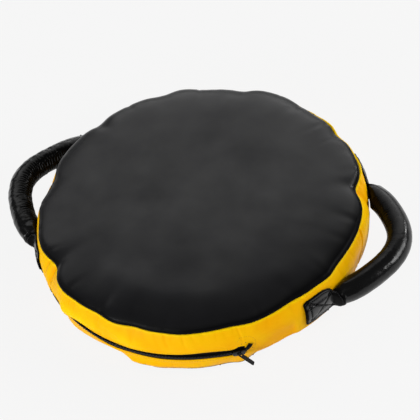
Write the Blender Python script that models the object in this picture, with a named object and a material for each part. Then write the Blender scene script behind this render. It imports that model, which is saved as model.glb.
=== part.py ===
"""Round padded drum mitt with two tube handles and a zipped side wall.

Metres, +Z up. The mitt lies on its back panel: the origin is the middle of that
flat face, +X runs through the right handle and the zip is on the -Y side.
Every round piece is turned about the Z axis, then one displacement field draws
the cover in where its turned seams are gathered, so nested pieces stay nested.
"""

import math

import bmesh
import bpy
from mathutils import Matrix, Vector

# Cover
TOP_SEAM_RADIUS = 0.225
BACK_SEAM_RADIUS = 0.2205
BACK_SEAM_HEIGHT = 0.0075
SIDE_WALL_HEIGHT = 0.0755
SIDE_WALL_BULGE = 0.009
CROWN_RISE = 0.019
CROWN_ROUNDNESS = 4.4
BACK_ROUND_LENGTH = 0.024
LEATHER = 0.0014
SEAM_GAP = 0.0003
SEAM_LIP = 0.0010

# Places where the seams are drawn in, or puff out where the depth is negative:
# polar angle in degrees, depth at the seam, half width in degrees
GATHERS = (
    (-179.0, 0.0080, 6.0),
    (-136.5, 0.0100, 6.5),
    (-125.0, -0.0026, 5.0),
    (-109.0, 0.0017, 4.5),
    (-94.0, 0.0020, 4.0),
    (-62.0, 0.0016, 5.0),
    (-40.0, 0.0026, 5.5),
    (-24.0, -0.0030, 4.0),
    (16.0, 0.0095, 5.5),
    (58.0, 0.0040, 8.0),
    (97.0, 0.0062, 8.5),
    (124.0, 0.0030, 4.0),
    (149.5, 0.0045, 4.0),
)
GATHER_LENGTH = 0.060
BACK_GATHER_SHARE = 0.5
CALM_BAND = 0.010

# Places where only the wall's foot is tucked under, or spreads where the depth is negative
FOOT_TUCKS = (
    (-123.0, -0.0050, 11.0),
    (-104.0, 0.0020, 4.0),
    (-90.0, -0.0055, 7.0),
    (-70.0, -0.0020, 6.0),
    (-48.0, 0.0070, 7.0),
    (-38.0, 0.0050, 6.0),
    (-8.0, 0.0040, 9.0),
)
FOOT_HEIGHT = 0.012

# Foam core
FOAM_FIT = 0.0016
FIRM_BACK_LAYER = 0.018
FIRM_STRIKE_LAYER = 0.022
LAYER_GAP = 0.0003
SLIDER_GROOVE = 0.0035
SLIDER_GROOVE_HALF = 0.0095

# Zip
ZIP_HEIGHT = 0.0395
ZIP_CLOSED_END = -57.5
ZIP_OPENING_STEPS = 16
ZIP_MOUTH_HALF = 0.0050
TAPE_HALF_WIDTH = 0.0150
TAPE_FLAT_HALF = 0.0065
TAPE_THICKNESS = 0.0007
TEETH_PITCH = 0.0042
TEETH_THICKNESS = 0.0022
TEETH_SIDE_GAP = 0.0003
TEETH_REACH = 0.0011
TEETH_ROOT = 0.0015
TEETH_EDGE = 0.0031
STOP_LENGTH = 0.0020
STOP_MARGIN = 0.0016
SLIDER_LENGTH = 0.0170
SLIDER_WIDTH = 0.0112
SLIDER_NARROW_WIDTH = 0.0096
SLIDER_PLATE = 0.0015
SLIDER_BACK_PLATE = 0.0012
SLIDER_FLANGE = 0.0011
SLIDER_RUN = 0.0004
SLIDER_BACK_RUN = 0.0007
BRIDGE_WIDTH = 0.0022
BRIDGE_BAR = 0.0012
BRIDGE_MOUTH_LENGTH = 0.0032
BRIDGE_MOUTH_HEIGHT = 0.0021
PULL_LENGTH = 0.0240
PULL_WIDTH = 0.0066
PULL_THICKNESS = 0.0013
PULL_EYE_BAR = 0.0012
PULL_CLEARANCE = 0.0004
PULL_SWING = 52.0

# Handles
HANDLE_HEIGHT = 0.048
HANDLE_STANDOFF = 0.0461
HANDLE_ROOT_ANGLE = 22.06
HANDLE_ROOT_GAP = 0.0019
HANDLE_HINGE_DEPTH = 0.011404
HANDLE_LIFT = 0.0085
HANDLE_SQUEEZE = 0.0040
RIGHT_HANDLE_TURN = 0.0
LEFT_HANDLE_TURN = -3.0
GRIP_DIAMETER = 0.0335
SLEEVE_END_ANGLE = 64.0
SLEEVE_END_THICKNESS = 0.0130
SLEEVE_END_HEIGHT = 0.0290
SLEEVE_ROUND_ANGLE = 46.0
PADDING_FIT = 0.0006
WEBBING_WIDTH = 0.0200
TAIL_WIDTH = 0.0170
WEBBING_THICKNESS = 0.0016
WEBBING_FIT = 0.0010
WEBBING_END_ANGLE = 55.0
TAIL_INSIDE_ANGLE = 61.5
TAB_START = 24.5
TAB_END = 36.5
TAB_NECK_HEIGHT = 0.0320
TAB_FAR_HEIGHT = 0.0470
TAB_CORNER = 0.0050
TAB_RISE = 0.0055
TAB_SEAT = 0.0007

# Facets
RING_STEPS = 72
HANDLE_SIDES = 14
SLEEVE_STEPS = 18
PADDING_STEPS = 14
RING_STEP = 360.0 / RING_STEPS
MERGE = 0.000001

TOP_SEAM_HEIGHT = BACK_SEAM_HEIGHT + SIDE_WALL_HEIGHT
WALL_LEVELS = (
    (BACK_SEAM_HEIGHT + ZIP_HEIGHT - TAPE_HALF_WIDTH) / 2.0,
    ZIP_HEIGHT - TAPE_HALF_WIDTH,
    ZIP_HEIGHT - ZIP_MOUTH_HALF,
    ZIP_HEIGHT + ZIP_MOUTH_HALF,
    ZIP_HEIGHT + TAPE_HALF_WIDTH,
    (TOP_SEAM_HEIGHT + ZIP_HEIGHT + TAPE_HALF_WIDTH) / 2.0,
)
ZIP_OPEN_END = ZIP_CLOSED_END - ZIP_OPENING_STEPS * RING_STEP

BLACK_PANEL = "#2E2E2F"
BLACK_GRIP = "#1F1F20"
TAB_GREY = "#333335"
YELLOW = "#F8C30A"
ZIP_BLACK = "#161618"
WEBBING_BLACK = "#1B1B1C"
FOAM_FIRM = "#4A4B4E"
FOAM_SOFT = "#D9D2BC"
PADDING_GREY = "#5A5A5C"


def clear_scene():
    """Remove every object that the file holds."""
    for thing in list(bpy.data.objects):
        bpy.data.objects.remove(thing, do_unlink=True)


def linear(hex_colour):
    """Turn an sRGB hex colour into linear red, green, blue and alpha."""
    channels = [int(hex_colour[i:i + 2], 16) / 255.0 for i in (1, 3, 5)]
    return [c / 12.92 if c <= 0.04045 else ((c + 0.055) / 1.055) ** 2.4 for c in channels] + [1.0]


def finish(name, hex_colour, roughness, metallic=0.0):
    """Make the Principled material of one piece."""
    material = bpy.data.materials.new(name + "_finish")
    material.use_nodes = True
    shader = material.node_tree.nodes["Principled BSDF"]
    shader.inputs["Base Color"].default_value = linear(hex_colour)
    shader.inputs["Roughness"].default_value = roughness
    shader.inputs["Metallic"].default_value = metallic
    return material


def add_object(name, bm, material, parent=None, smooth_angle=40.0):
    """Store a bmesh as one named object with its material."""
    mesh = bpy.data.meshes.new(name)
    bm.to_mesh(mesh)
    bm.free()
    mesh.shade_smooth()
    mesh.set_sharp_from_angle(angle=math.radians(smooth_angle))
    mesh.materials.append(material)
    thing = bpy.data.objects.new(name, mesh)
    thing.parent = parent
    bpy.context.scene.collection.objects.link(thing)
    return thing


def add_empty(name, location, turn=0.0, parent=None):
    """Add an empty that carries pieces on a joint's axis."""
    empty = bpy.data.objects.new(name, None)
    empty.location = location
    empty.rotation_euler = (0.0, 0.0, math.radians(turn))
    empty.parent = parent
    bpy.context.scene.collection.objects.link(empty)
    return empty


def thicken(thing, thickness, offset):
    """Give an open sheet its wall; offset -1 grows it inwards, +1 outwards."""
    wall = thing.modifiers.new("wall", "SOLIDIFY")
    wall.thickness = thickness
    wall.offset = offset
    wall.use_even_offset = True
    wall.use_rim = True
    return wall


def combine(thing, tool, operation="UNION"):
    """Join or cut a closed tool into a closed piece, then drop the tool."""
    step = thing.modifiers.new("boolean", "BOOLEAN")
    step.operation = operation
    step.solver = "EXACT"
    step.object = tool
    bpy.context.view_layer.update()
    joined = bpy.data.meshes.new_from_object(thing.evaluated_get(bpy.context.evaluated_depsgraph_get()))
    joined.name = thing.name
    thing.modifiers.remove(step)
    thing.data = joined
    bpy.data.objects.remove(tool, do_unlink=True)


def ease(value):
    """Smooth step from 0 to 1."""
    value = min(1.0, max(0.0, value))
    return value * value * (3.0 - 2.0 * value)


def seam_share(radius, height):
    """How much of a gather reaches a point: all of it at a seam, none at the zip or mid panel."""
    above = height > ZIP_HEIGHT
    seam = TOP_SEAM_HEIGHT if above else BACK_SEAM_HEIGHT
    reach = abs(seam - ZIP_HEIGHT) - CALM_BAND
    side = min(1.0, max(0.0, (abs(height - ZIP_HEIGHT) - CALM_BAND) / reach)) ** 1.5
    edge = min(1.0, max(0.0, 1.0 - (BACK_SEAM_RADIUS - radius) / GATHER_LENGTH)) ** 1.5
    return side * edge * (1.0 if above else BACK_GATHER_SHARE)


def foot_share(radius, height):
    """How much of a tuck reaches a point: all of it at the wall's foot, none beside the zip's tapes."""
    side = ease((ZIP_HEIGHT - TAPE_HALF_WIDTH - height) / FOOT_HEIGHT)
    edge = min(1.0, max(0.0, 1.0 - (BACK_SEAM_RADIUS - radius) / GATHER_LENGTH)) ** 1.5
    return side * edge


def drawn_depth(places, angle):
    """Depth of a row of gathers or tucks at a polar angle in degrees."""
    depth = 0.0
    for middle, deep, half_width in places:
        away = (angle - middle + 180.0) % 360.0 - 180.0
        depth += deep * math.exp(-(away / half_width) ** 2)
    return depth


def gathered(point):
    """Move a point of the turned form to its place on the gathered cover."""
    radius = math.hypot(point.x, point.y)
    if radius < MERGE:
        return point.copy()
    angle = math.degrees(math.atan2(point.y, point.x))
    drawn = drawn_depth(GATHERS, angle) * seam_share(radius, point.z)
    drawn += drawn_depth(FOOT_TUCKS, angle) * foot_share(radius, point.z)
    scale = (radius - drawn) / radius
    return Vector((point.x * scale, point.y * scale, point.z))


def gather_all(bm):
    """Apply the displacement field to a whole bmesh."""
    for vert in bm.verts:
        vert.co = gathered(vert.co)


def wall_radius(height):
    """Outer radius of the side wall before gathering."""
    share = (height - BACK_SEAM_HEIGHT) / SIDE_WALL_HEIGHT
    base = BACK_SEAM_RADIUS + (TOP_SEAM_RADIUS - BACK_SEAM_RADIUS) * share
    return base + SIDE_WALL_BULGE * (1.0 - abs(2.0 * share - 1.0) ** 2.6)


def wall_profile(low, high):
    """Outer profile of the side wall on the shared levels, with an upright lip at each seam."""
    at_back = abs(low - BACK_SEAM_HEIGHT) < MERGE
    at_top = abs(high - TOP_SEAM_HEIGHT) < MERGE
    first = low + (SEAM_LIP * 3.0 if at_back else 0.0)
    last = high - (SEAM_LIP * 3.0 if at_top else 0.0)
    between = [level for level in WALL_LEVELS if first + MERGE < level < last - MERGE]
    profile = [(wall_radius(height), height) for height in [first] + between + [last]]
    if at_back:
        profile = [(BACK_SEAM_RADIUS, low), (BACK_SEAM_RADIUS, low + SEAM_LIP)] + profile
    if at_top:
        profile += [(TOP_SEAM_RADIUS, high - SEAM_LIP), (TOP_SEAM_RADIUS, high)]
    return profile


def crown_profile(rows):
    """Outer profile of the striking panel from its seam to the crown."""
    profile = [(TOP_SEAM_RADIUS, TOP_SEAM_HEIGHT + SEAM_GAP)]
    for row in range(rows + 1):
        turn = math.radians(90.0) * (row / rows) ** 0.85
        radius = TOP_SEAM_RADIUS * max(0.0, math.cos(turn)) ** (2.0 / CROWN_ROUNDNESS)
        rise = CROWN_RISE * math.sin(turn) ** (2.0 / CROWN_ROUNDNESS * 1.6)
        profile.append((radius, TOP_SEAM_HEIGHT + SEAM_GAP + SEAM_LIP + rise))
    profile[-1] = (0.0, TOP_SEAM_HEIGHT + SEAM_GAP + SEAM_LIP + CROWN_RISE)
    return profile


def back_profile(rows):
    """Outer profile of the back panel from the middle of its flat face to its seam."""
    flat_radius = BACK_SEAM_RADIUS - BACK_ROUND_LENGTH
    profile = [(0.0, 0.0)]
    for row in range(rows + 1):
        turn = math.radians(90.0) * row / rows
        radius = flat_radius + BACK_ROUND_LENGTH * math.sin(turn)
        height = (BACK_SEAM_HEIGHT - SEAM_GAP - SEAM_LIP) * (1.0 - math.cos(turn))
        profile.append((radius, height))
    return profile + [(BACK_SEAM_RADIUS, BACK_SEAM_HEIGHT - SEAM_GAP)]


def inset_profile(profile, distance):
    """Move an outer profile inwards, square to its own run."""
    moved = []
    for index, (radius, height) in enumerate(profile):
        before = Vector(profile[max(0, index - 1)])
        after = Vector(profile[min(len(profile) - 1, index + 1)])
        run = (after - before).normalized()
        moved.append((max(0.0, radius - run.y * distance), height + run.x * distance))
    return moved


def spin_profile(profile, start, sweep, steps):
    """Turn an open profile about the Z axis; angles in degrees."""
    bm = bmesh.new()
    turn = math.radians(start)
    verts = [bm.verts.new((r * math.cos(turn), r * math.sin(turn), z)) for r, z in profile]
    edges = [bm.edges.new(pair) for pair in zip(verts, verts[1:])]
    bmesh.ops.spin(
        bm, geom=verts + edges, cent=(0, 0, 0), axis=(0, 0, 1), dvec=(0, 0, 0),
        angle=math.radians(sweep), steps=steps, use_merge=abs(sweep) >= 360.0, use_duplicate=False,
    )
    bmesh.ops.remove_doubles(bm, verts=bm.verts, dist=MERGE)
    return bm


def face_out(bm, outward):
    """Turn an open sheet so that its faces look along outward(centre)."""
    bmesh.ops.recalc_face_normals(bm, faces=bm.faces)
    score = sum(face.normal.dot(outward(face.calc_center_median())) * face.calc_area() for face in bm.faces)
    if score < 0.0:
        bmesh.ops.reverse_faces(bm, faces=bm.faces)


def radial(point):
    """Unit vector from the Z axis through a point."""
    return Vector((point.x, point.y, 0.0)).normalized()


def make_striking_panel():
    """Black crowned disc, drawn in along its seam."""
    bm = spin_profile(crown_profile(6), ZIP_CLOSED_END, 360.0, RING_STEPS)
    gather_all(bm)
    face_out(bm, lambda centre: Vector((0.0, 0.0, 1.0)))
    thing = add_object("striking_panel", bm, finish("striking_panel", BLACK_PANEL, 0.5))
    thicken(thing, LEATHER, -1.0)


def make_back_panel():
    """Black disc with the flat face that the mitt rests on."""
    bm = spin_profile(back_profile(2), ZIP_CLOSED_END, 360.0, RING_STEPS)
    gather_all(bm)
    face_out(bm, lambda centre: Vector((0.0, 0.0, -1.0)))
    thing = add_object("back_panel", bm, finish("back_panel", BLACK_PANEL, 0.55))
    thicken(thing, LEATHER, -1.0)


def make_wall_strip(name, low, high, start, sweep):
    """One yellow strip of the side wall, on the ring's own stations."""
    steps = round(abs(sweep) / RING_STEP)
    margin = math.degrees(SEAM_GAP / TOP_SEAM_RADIUS) / 2.0
    trimmed = sweep - math.copysign(2.0 * margin, sweep)
    bm = spin_profile(wall_profile(low, high), start + math.copysign(margin, sweep), trimmed, steps)
    gather_all(bm)
    face_out(bm, radial)
    thing = add_object(name, bm, finish(name, YELLOW, 0.42))
    thicken(thing, LEATHER, -1.0)


def make_side_wall():
    """Plain length, and the two strips that frame the zip."""
    opening = ZIP_OPENING_STEPS * RING_STEP
    top = TOP_SEAM_HEIGHT
    low = BACK_SEAM_HEIGHT
    make_wall_strip("side_wall_plain", low, top, ZIP_CLOSED_END, 360.0 - opening)
    make_wall_strip("side_wall_above_zip", ZIP_HEIGHT + ZIP_MOUTH_HALF, top, ZIP_CLOSED_END, -opening)
    make_wall_strip("side_wall_below_zip", low, ZIP_HEIGHT - ZIP_MOUTH_HALF, ZIP_CLOSED_END, -opening)


def cover_profile():
    """Whole outer profile, from the middle of the back to the middle of the crown."""
    wall = wall_profile(BACK_SEAM_HEIGHT, TOP_SEAM_HEIGHT)
    return back_profile(2)[:-1] + wall[1:-1] + crown_profile(5)[1:]


def foam_profile(low, high):
    """Closed profile of one foam layer: the cover's inner profile between two heights."""
    inner = inset_profile(cover_profile(), LEATHER + FOAM_FIT)
    kept = []
    for (r0, z0), (r1, z1) in zip(inner, inner[1:]):
        for level in (low, high):
            if (z0 - level) * (z1 - level) < 0.0:
                kept.append((r0 + (r1 - r0) * (level - z0) / (z1 - z0), level))
        if low <= z1 <= high:
            kept.append((r1, z1))
    kept.sort(key=lambda point: (point[1], -point[0] if point[1] > TOP_SEAM_HEIGHT else point[0]))
    return kept


def groove_profile():
    """Profile of the foam behind the zip: clear of the tapes, deeper where the slider's back runs."""
    behind_tapes = LEATHER + SEAM_GAP * 2.0 + TAPE_THICKNESS + FOAM_FIT
    steps = (
        (TAPE_HALF_WIDTH + FOAM_FIT, behind_tapes),
        (SLIDER_GROOVE_HALF, behind_tapes),
        (SLIDER_GROOVE_HALF - FOAM_FIT, behind_tapes + SLIDER_GROOVE),
    )
    below = [(wall_radius(ZIP_HEIGHT - away) - depth, ZIP_HEIGHT - away) for away, depth in steps]
    above = [(wall_radius(ZIP_HEIGHT + away) - depth, ZIP_HEIGHT + away) for away, depth in steps]
    return below + above[::-1]


def make_foam_layer(name, low, high, colour):
    """One foam disc inside the cover; the layer behind the zip has its groove."""
    profile = foam_profile(low, high)
    if low < ZIP_HEIGHT < high:
        reach = TAPE_HALF_WIDTH + FOAM_FIT * 2.0
        profile = [point for point in profile if abs(point[1] - ZIP_HEIGHT) > reach]
        groove = groove_profile()
        profile = [point for point in profile if point[1] < ZIP_HEIGHT] + groove + [
            point for point in profile if point[1] > ZIP_HEIGHT]
    outline = list(profile)
    if outline[0][0] > MERGE:
        outline.insert(0, (0.0, outline[0][1]))
    if outline[-1][0] > MERGE:
        outline.append((0.0, outline[-1][1]))
    bm = spin_profile(outline, ZIP_CLOSED_END, 360.0, RING_STEPS)
    gather_all(bm)
    bmesh.ops.recalc_face_normals(bm, faces=bm.faces)
    add_object(name, bm, finish(name, colour, 0.9))


def make_foam_core():
    """Firm back, soft middle and firm striking layers."""
    inside = LEATHER + FOAM_FIT
    back_top = min(inside + FIRM_BACK_LAYER, ZIP_HEIGHT - TAPE_HALF_WIDTH - FOAM_FIT * 2.0 - LAYER_GAP)
    crown = TOP_SEAM_HEIGHT + SEAM_GAP + SEAM_LIP + CROWN_RISE - inside
    strike_low = crown - FIRM_STRIKE_LAYER
    make_foam_layer("foam_back_layer", inside, back_top, FOAM_FIRM)
    make_foam_layer("foam_middle_layer", back_top + LAYER_GAP, strike_low - LAYER_GAP, FOAM_SOFT)
    make_foam_layer("foam_striking_layer", strike_low, crown + MERGE, FOAM_FIRM)


def zip_lean():
    """Radius that the side wall gains for each length that it rises across the zip."""
    gain = wall_radius(ZIP_HEIGHT + TAPE_FLAT_HALF) - wall_radius(ZIP_HEIGHT - TAPE_FLAT_HALF)
    return gain / (2.0 * TAPE_FLAT_HALF)


def track_radius(above=0.0):
    """Outer radius of the zip tapes' straight middle, some way above or below the zip's middle."""
    ends = wall_radius(ZIP_HEIGHT + TAPE_FLAT_HALF) + wall_radius(ZIP_HEIGHT - TAPE_FLAT_HALF)
    return ends / 2.0 - LEATHER - SEAM_GAP + zip_lean() * above


def zip_seat(name, angle):
    """Empties that carry a piece on the zip: one on the mitt's axis, one on the leaning tapes' face."""
    axis = add_empty(name + "_axis", (0.0, 0.0, ZIP_HEIGHT), angle)
    seat = add_empty(name + "_seat", (track_radius(), 0.0, 0.0), parent=axis)
    seat.rotation_euler.y = math.atan(zip_lean())
    return seat


def arc_degrees(length):
    """Turn a length along the zip into degrees."""
    return math.degrees(length / track_radius())


def make_zip_tapes():
    """Two woven tapes, sewn behind the edges of the mouth and a ring step past its ends."""
    start = ZIP_CLOSED_END + RING_STEP
    steps = ZIP_OPENING_STEPS + 2
    for name, side in (("zip_tape_upper", 1.0), ("zip_tape_lower", -1.0)):
        edge = ZIP_HEIGHT + side * TAPE_HALF_WIDTH
        profile = [
            (track_radius(side * SEAM_GAP), ZIP_HEIGHT + side * SEAM_GAP),
            (track_radius(side * TAPE_FLAT_HALF), ZIP_HEIGHT + side * TAPE_FLAT_HALF),
            (wall_radius(edge) - LEATHER - SEAM_GAP * 2.0, edge),
        ]
        bm = spin_profile(profile, start, -steps * RING_STEP, steps)
        gather_all(bm)
        face_out(bm, radial)
        thing = add_object(name, bm, finish(name, ZIP_BLACK, 0.8))
        thicken(thing, TAPE_THICKNESS, -1.0)


def zip_layout():
    """Angles of the stops, the toothed run and the slider, in degrees."""
    margin = arc_degrees(STOP_MARGIN)
    stop = arc_degrees(STOP_LENGTH)
    clear = arc_degrees(SEAM_GAP)
    half_slider = arc_degrees(SLIDER_LENGTH) / 2.0
    top_stop = ZIP_CLOSED_END - margin
    teeth_start = top_stop - stop - clear
    bottom_stop = ZIP_OPEN_END + margin
    teeth_end = bottom_stop + stop + clear
    return {
        "top_stop": top_stop,
        "bottom_stop": bottom_stop,
        "teeth_start": teeth_start,
        "teeth_end": teeth_end,
        "slider": teeth_start - half_slider,
        "slider_open": teeth_end + half_slider,
    }


def polar(radius, angle, height):
    """Point at a polar angle in degrees."""
    turn = math.radians(angle)
    return Vector((radius * math.cos(turn), radius * math.sin(turn), height))


def zip_point(angle, above, off):
    """Point some way up the zip's lean and some way off the tapes' face."""
    lean = math.atan(zip_lean())
    radius = track_radius() + above * math.sin(lean) + off * math.cos(lean)
    return polar(radius, angle, ZIP_HEIGHT + above * math.cos(lean) - off * math.sin(lean))


def make_teeth_row(name, side, layout):
    """One comb of teeth that meshes with the other row across the middle of the zip."""
    pitch = arc_degrees(TEETH_PITCH)
    half_tooth = (pitch / 2.0 - arc_degrees(TEETH_SIDE_GAP)) / 2.0
    count = int((layout["teeth_start"] - layout["teeth_end"]) / pitch) - 1
    first = layout["teeth_start"] - pitch * (0.5 if side > 0 else 1.0)
    face = SEAM_GAP + TEETH_THICKNESS
    bm = bmesh.new()
    spine_outer = []
    spine_root = []
    stations = []
    for index in range(count):
        middle = first - index * pitch
        stations += [middle + half_tooth, middle - half_tooth]
    stations = [layout["teeth_start"]] + stations + [layout["teeth_end"]]
    for angle in stations:
        spine_outer.append(bm.verts.new(zip_point(angle, side * TEETH_EDGE, face)))
        spine_root.append(bm.verts.new(zip_point(angle, side * TEETH_ROOT, face)))
    for index in range(len(stations) - 1):
        bm.faces.new((spine_outer[index], spine_root[index], spine_root[index + 1], spine_outer[index + 1]))
        if index % 2 == 1:
            angles = (stations[index] - half_tooth * 0.2, stations[index + 1] + half_tooth * 0.2)
            tips = [bm.verts.new(zip_point(angle, -side * TEETH_REACH, face)) for angle in angles]
            bm.faces.new((spine_root[index], tips[0], tips[1], spine_root[index + 1]))
    bmesh.ops.recalc_face_normals(bm, faces=bm.faces)
    grown = bmesh.ops.extrude_face_region(bm, geom=bm.faces[:])
    lean = math.atan(zip_lean())
    for vert in [item for item in grown["geom"] if isinstance(item, bmesh.types.BMVert)]:
        inwards = radial(vert.co) * math.cos(lean) - Vector((0.0, 0.0, math.sin(lean)))
        vert.co -= inwards * TEETH_THICKNESS
    bmesh.ops.recalc_face_normals(bm, faces=bm.faces)
    add_object(name, bm, finish(name, ZIP_BLACK, 0.35), smooth_angle=30.0)


def box(low, high):
    """Closed bmesh box between two corners."""
    bm = bmesh.new()
    middle = (Vector(low) + Vector(high)) / 2.0
    size = Vector(high) - Vector(low)
    bmesh.ops.create_cube(bm, size=1.0, matrix=Matrix.LocRotScale(middle, None, size))
    return bm


def make_stop(name, angle, low, high):
    """A clamped stop at the end of the teeth, as a bevelled block on the tape."""
    seat = zip_seat(name, angle - arc_degrees(STOP_LENGTH) / 2.0)
    face = SEAM_GAP + TEETH_THICKNESS
    bm = box((SEAM_GAP, -STOP_LENGTH / 2.0, low), (face, STOP_LENGTH / 2.0, high))
    bmesh.ops.bevel(
        bm, geom=bm.edges[:], offset=0.0003, segments=1, affect="EDGES", profile=0.5, material=-1,
    )
    add_object(name, bm, finish(name, ZIP_BLACK, 0.3, 0.6), seat, 30.0)


def make_stops(layout):
    """Two top stops, one per tape, and the bottom stop across both rows."""
    make_stop("zip_top_stop_upper", layout["top_stop"], SEAM_GAP, TEETH_EDGE)
    make_stop("zip_top_stop_lower", layout["top_stop"], -TEETH_EDGE, -SEAM_GAP)
    bottom = layout["bottom_stop"] + arc_degrees(STOP_LENGTH)
    make_stop("zip_bottom_stop", bottom, -TEETH_EDGE, TEETH_EDGE)


def shield(length, wide, narrow, low, high):
    """Slider shield: a plate that narrows towards the closed teeth, with rounded corners."""
    bm = box((low, -length / 2.0, -0.5), (high, length / 2.0, 0.5))
    for vert in bm.verts:
        width = narrow if vert.co.y < 0.0 else wide
        vert.co.z *= width
    corners = [edge for edge in bm.edges if abs(edge.verts[0].co.x - edge.verts[1].co.x) > MERGE]
    bmesh.ops.bevel(
        bm, geom=corners, offset=0.0022, segments=3, affect="EDGES", profile=0.5, material=-1,
    )
    return bm


def flange(side, low, high):
    """Turned edge of the front shield, outside the row of teeth."""
    inner = TEETH_EDGE + SLIDER_RUN
    bm = box((low, -SLIDER_LENGTH * 0.40, 0.0), (high, SLIDER_LENGTH * 0.36, SLIDER_FLANGE))
    for vert in bm.verts:
        vert.co.z = side * (vert.co.z + inner)
    bmesh.ops.recalc_face_normals(bm, faces=bm.faces)
    return bm


def bridge(face):
    """Arch on the front shield's face that the pull tab hangs on, sunk half through the shield."""
    foot = face - SLIDER_PLATE / 2.0
    mouth = face + BRIDGE_MOUTH_HEIGHT
    half_mouth = BRIDGE_MOUTH_LENGTH / 2.0
    half = half_mouth + BRIDGE_BAR
    outline = (
        (foot, -half), (foot, -half_mouth), (mouth, -half_mouth), (mouth, half_mouth),
        (foot, half_mouth), (foot, half), (mouth, half),
        (mouth + BRIDGE_BAR, half_mouth), (mouth + BRIDGE_BAR, -half_mouth), (mouth, -half),
    )
    bm = bmesh.new()
    bm.faces.new([bm.verts.new((x, y, -BRIDGE_WIDTH / 2.0)) for x, y in outline])
    grown = bmesh.ops.extrude_face_region(bm, geom=bm.faces[:])
    moved = [item for item in grown["geom"] if isinstance(item, bmesh.types.BMVert)]
    bmesh.ops.translate(bm, vec=(0.0, 0.0, BRIDGE_WIDTH), verts=moved)
    bmesh.ops.recalc_face_normals(bm, faces=bm.faces)
    return bm


def make_slider(layout):
    """Front shield with flanges and bridge, and the back shield behind the tapes."""
    seat = zip_seat("slider", layout["slider"])
    front_low = SEAM_GAP + TEETH_THICKNESS + SLIDER_RUN
    front_high = front_low + SLIDER_PLATE
    metal = finish("zip_slider_front", ZIP_BLACK, 0.3, 0.7)
    plate = shield(SLIDER_LENGTH, SLIDER_WIDTH, SLIDER_NARROW_WIDTH, front_low, front_high)
    front = add_object("zip_slider_front", plate, metal, seat, 30.0)
    for side in (-1.0, 1.0):
        edge = flange(side, SLIDER_RUN, front_low + SLIDER_PLATE / 2.0)
        combine(front, add_object("flange_tool", edge, metal, seat))
    combine(front, add_object("bridge_tool", bridge(front_high), metal, seat))
    back_high = -TAPE_THICKNESS - SLIDER_BACK_RUN
    back_low = back_high - SLIDER_BACK_PLATE
    back_plate = shield(SLIDER_LENGTH, SLIDER_WIDTH, SLIDER_NARROW_WIDTH, back_low, back_high)
    add_object("zip_slider_back", back_plate, finish("zip_slider_back", ZIP_BLACK, 0.35, 0.7), seat, 30.0)
    return seat, front_high + BRIDGE_MOUTH_HEIGHT / 2.0


def make_pull_tab(seat, pivot_height):
    """Flat pull with an eye round the bridge; its local X runs along the pull."""
    pivot = add_empty("pull_pivot", (pivot_height, 0.0, 0.0), 90.0 - PULL_SWING, seat)
    half_bar = PULL_EYE_BAR / 2.0
    half = PULL_THICKNESS / 2.0
    arch = (BRIDGE_MOUTH_LENGTH / 2.0 + BRIDGE_BAR, BRIDGE_MOUTH_HEIGHT / 2.0 + BRIDGE_BAR)
    reach = math.hypot(*arch) + PULL_CLEARANCE
    bm = box((-half_bar, -half, -PULL_WIDTH / 2.0), (PULL_LENGTH, half, PULL_WIDTH / 2.0))
    for vert in bm.verts:
        if vert.co.x > half_bar:
            vert.co.z *= 0.86
    ends = [
        edge for edge in bm.edges
        if edge.verts[0].co.x > half_bar and edge.verts[1].co.x > half_bar
        and abs(edge.verts[0].co.y - edge.verts[1].co.y) > MERGE
    ]
    bmesh.ops.bevel(
        bm, geom=ends, offset=PULL_WIDTH * 0.38, segments=4, affect="EDGES", profile=0.5, material=-1,
    )
    pull = add_object("zip_pull_tab", bm, finish("zip_pull_tab", ZIP_BLACK, 0.3, 0.5), pivot, 30.0)
    eye_half = BRIDGE_WIDTH / 2.0 + PULL_CLEARANCE
    hole = box((half_bar, -PULL_THICKNESS, -eye_half), (reach, PULL_THICKNESS, eye_half))
    eye = add_object("eye_tool", hole, pull.data.materials[0], pivot)
    combine(pull, eye, "DIFFERENCE")


def root_wall_radius():
    """Largest wall radius over the height of a sleeve's end."""
    half = SLEEVE_END_HEIGHT / 2.0
    return max(wall_radius(HANDLE_HEIGHT + above) for above in (-half, 0.0, half))


def hinge_radius():
    """Distance of the handle's hinge from the mitt's axis."""
    return root_wall_radius() - HANDLE_HINGE_DEPTH


def handle_arc():
    """Centre X and radius of the handle's arc through its roots and its standoff, and its roots' X."""
    root = polar(root_wall_radius() + HANDLE_ROOT_GAP, HANDLE_ROOT_ANGLE, 0.0)
    reach = root_wall_radius() + HANDLE_STANDOFF
    rise = reach - root.x
    radius = (root.y ** 2 + rise ** 2) / (2.0 * rise)
    return reach - radius, radius, root.x


def arc_point(angle):
    """Point and outward direction of the handle's centre line, in the handle's hinge frame.

    The line climbs from its roots to its middle, and its legs are straighter than a true arc's.
    """
    centre, radius, root = handle_arc()
    turn = math.radians(angle)
    full = math.acos((root - centre) / radius)
    outward = Vector((math.cos(turn), math.sin(turn), 0.0))
    size = radius - HANDLE_SQUEEZE * math.sin(math.pi * turn / full) ** 2
    reach = centre + size * outward.x
    lift = HANDLE_LIFT * (reach - root) / (centre + radius - root)
    return Vector((reach - hinge_radius(), size * outward.y, lift)), outward


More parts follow.
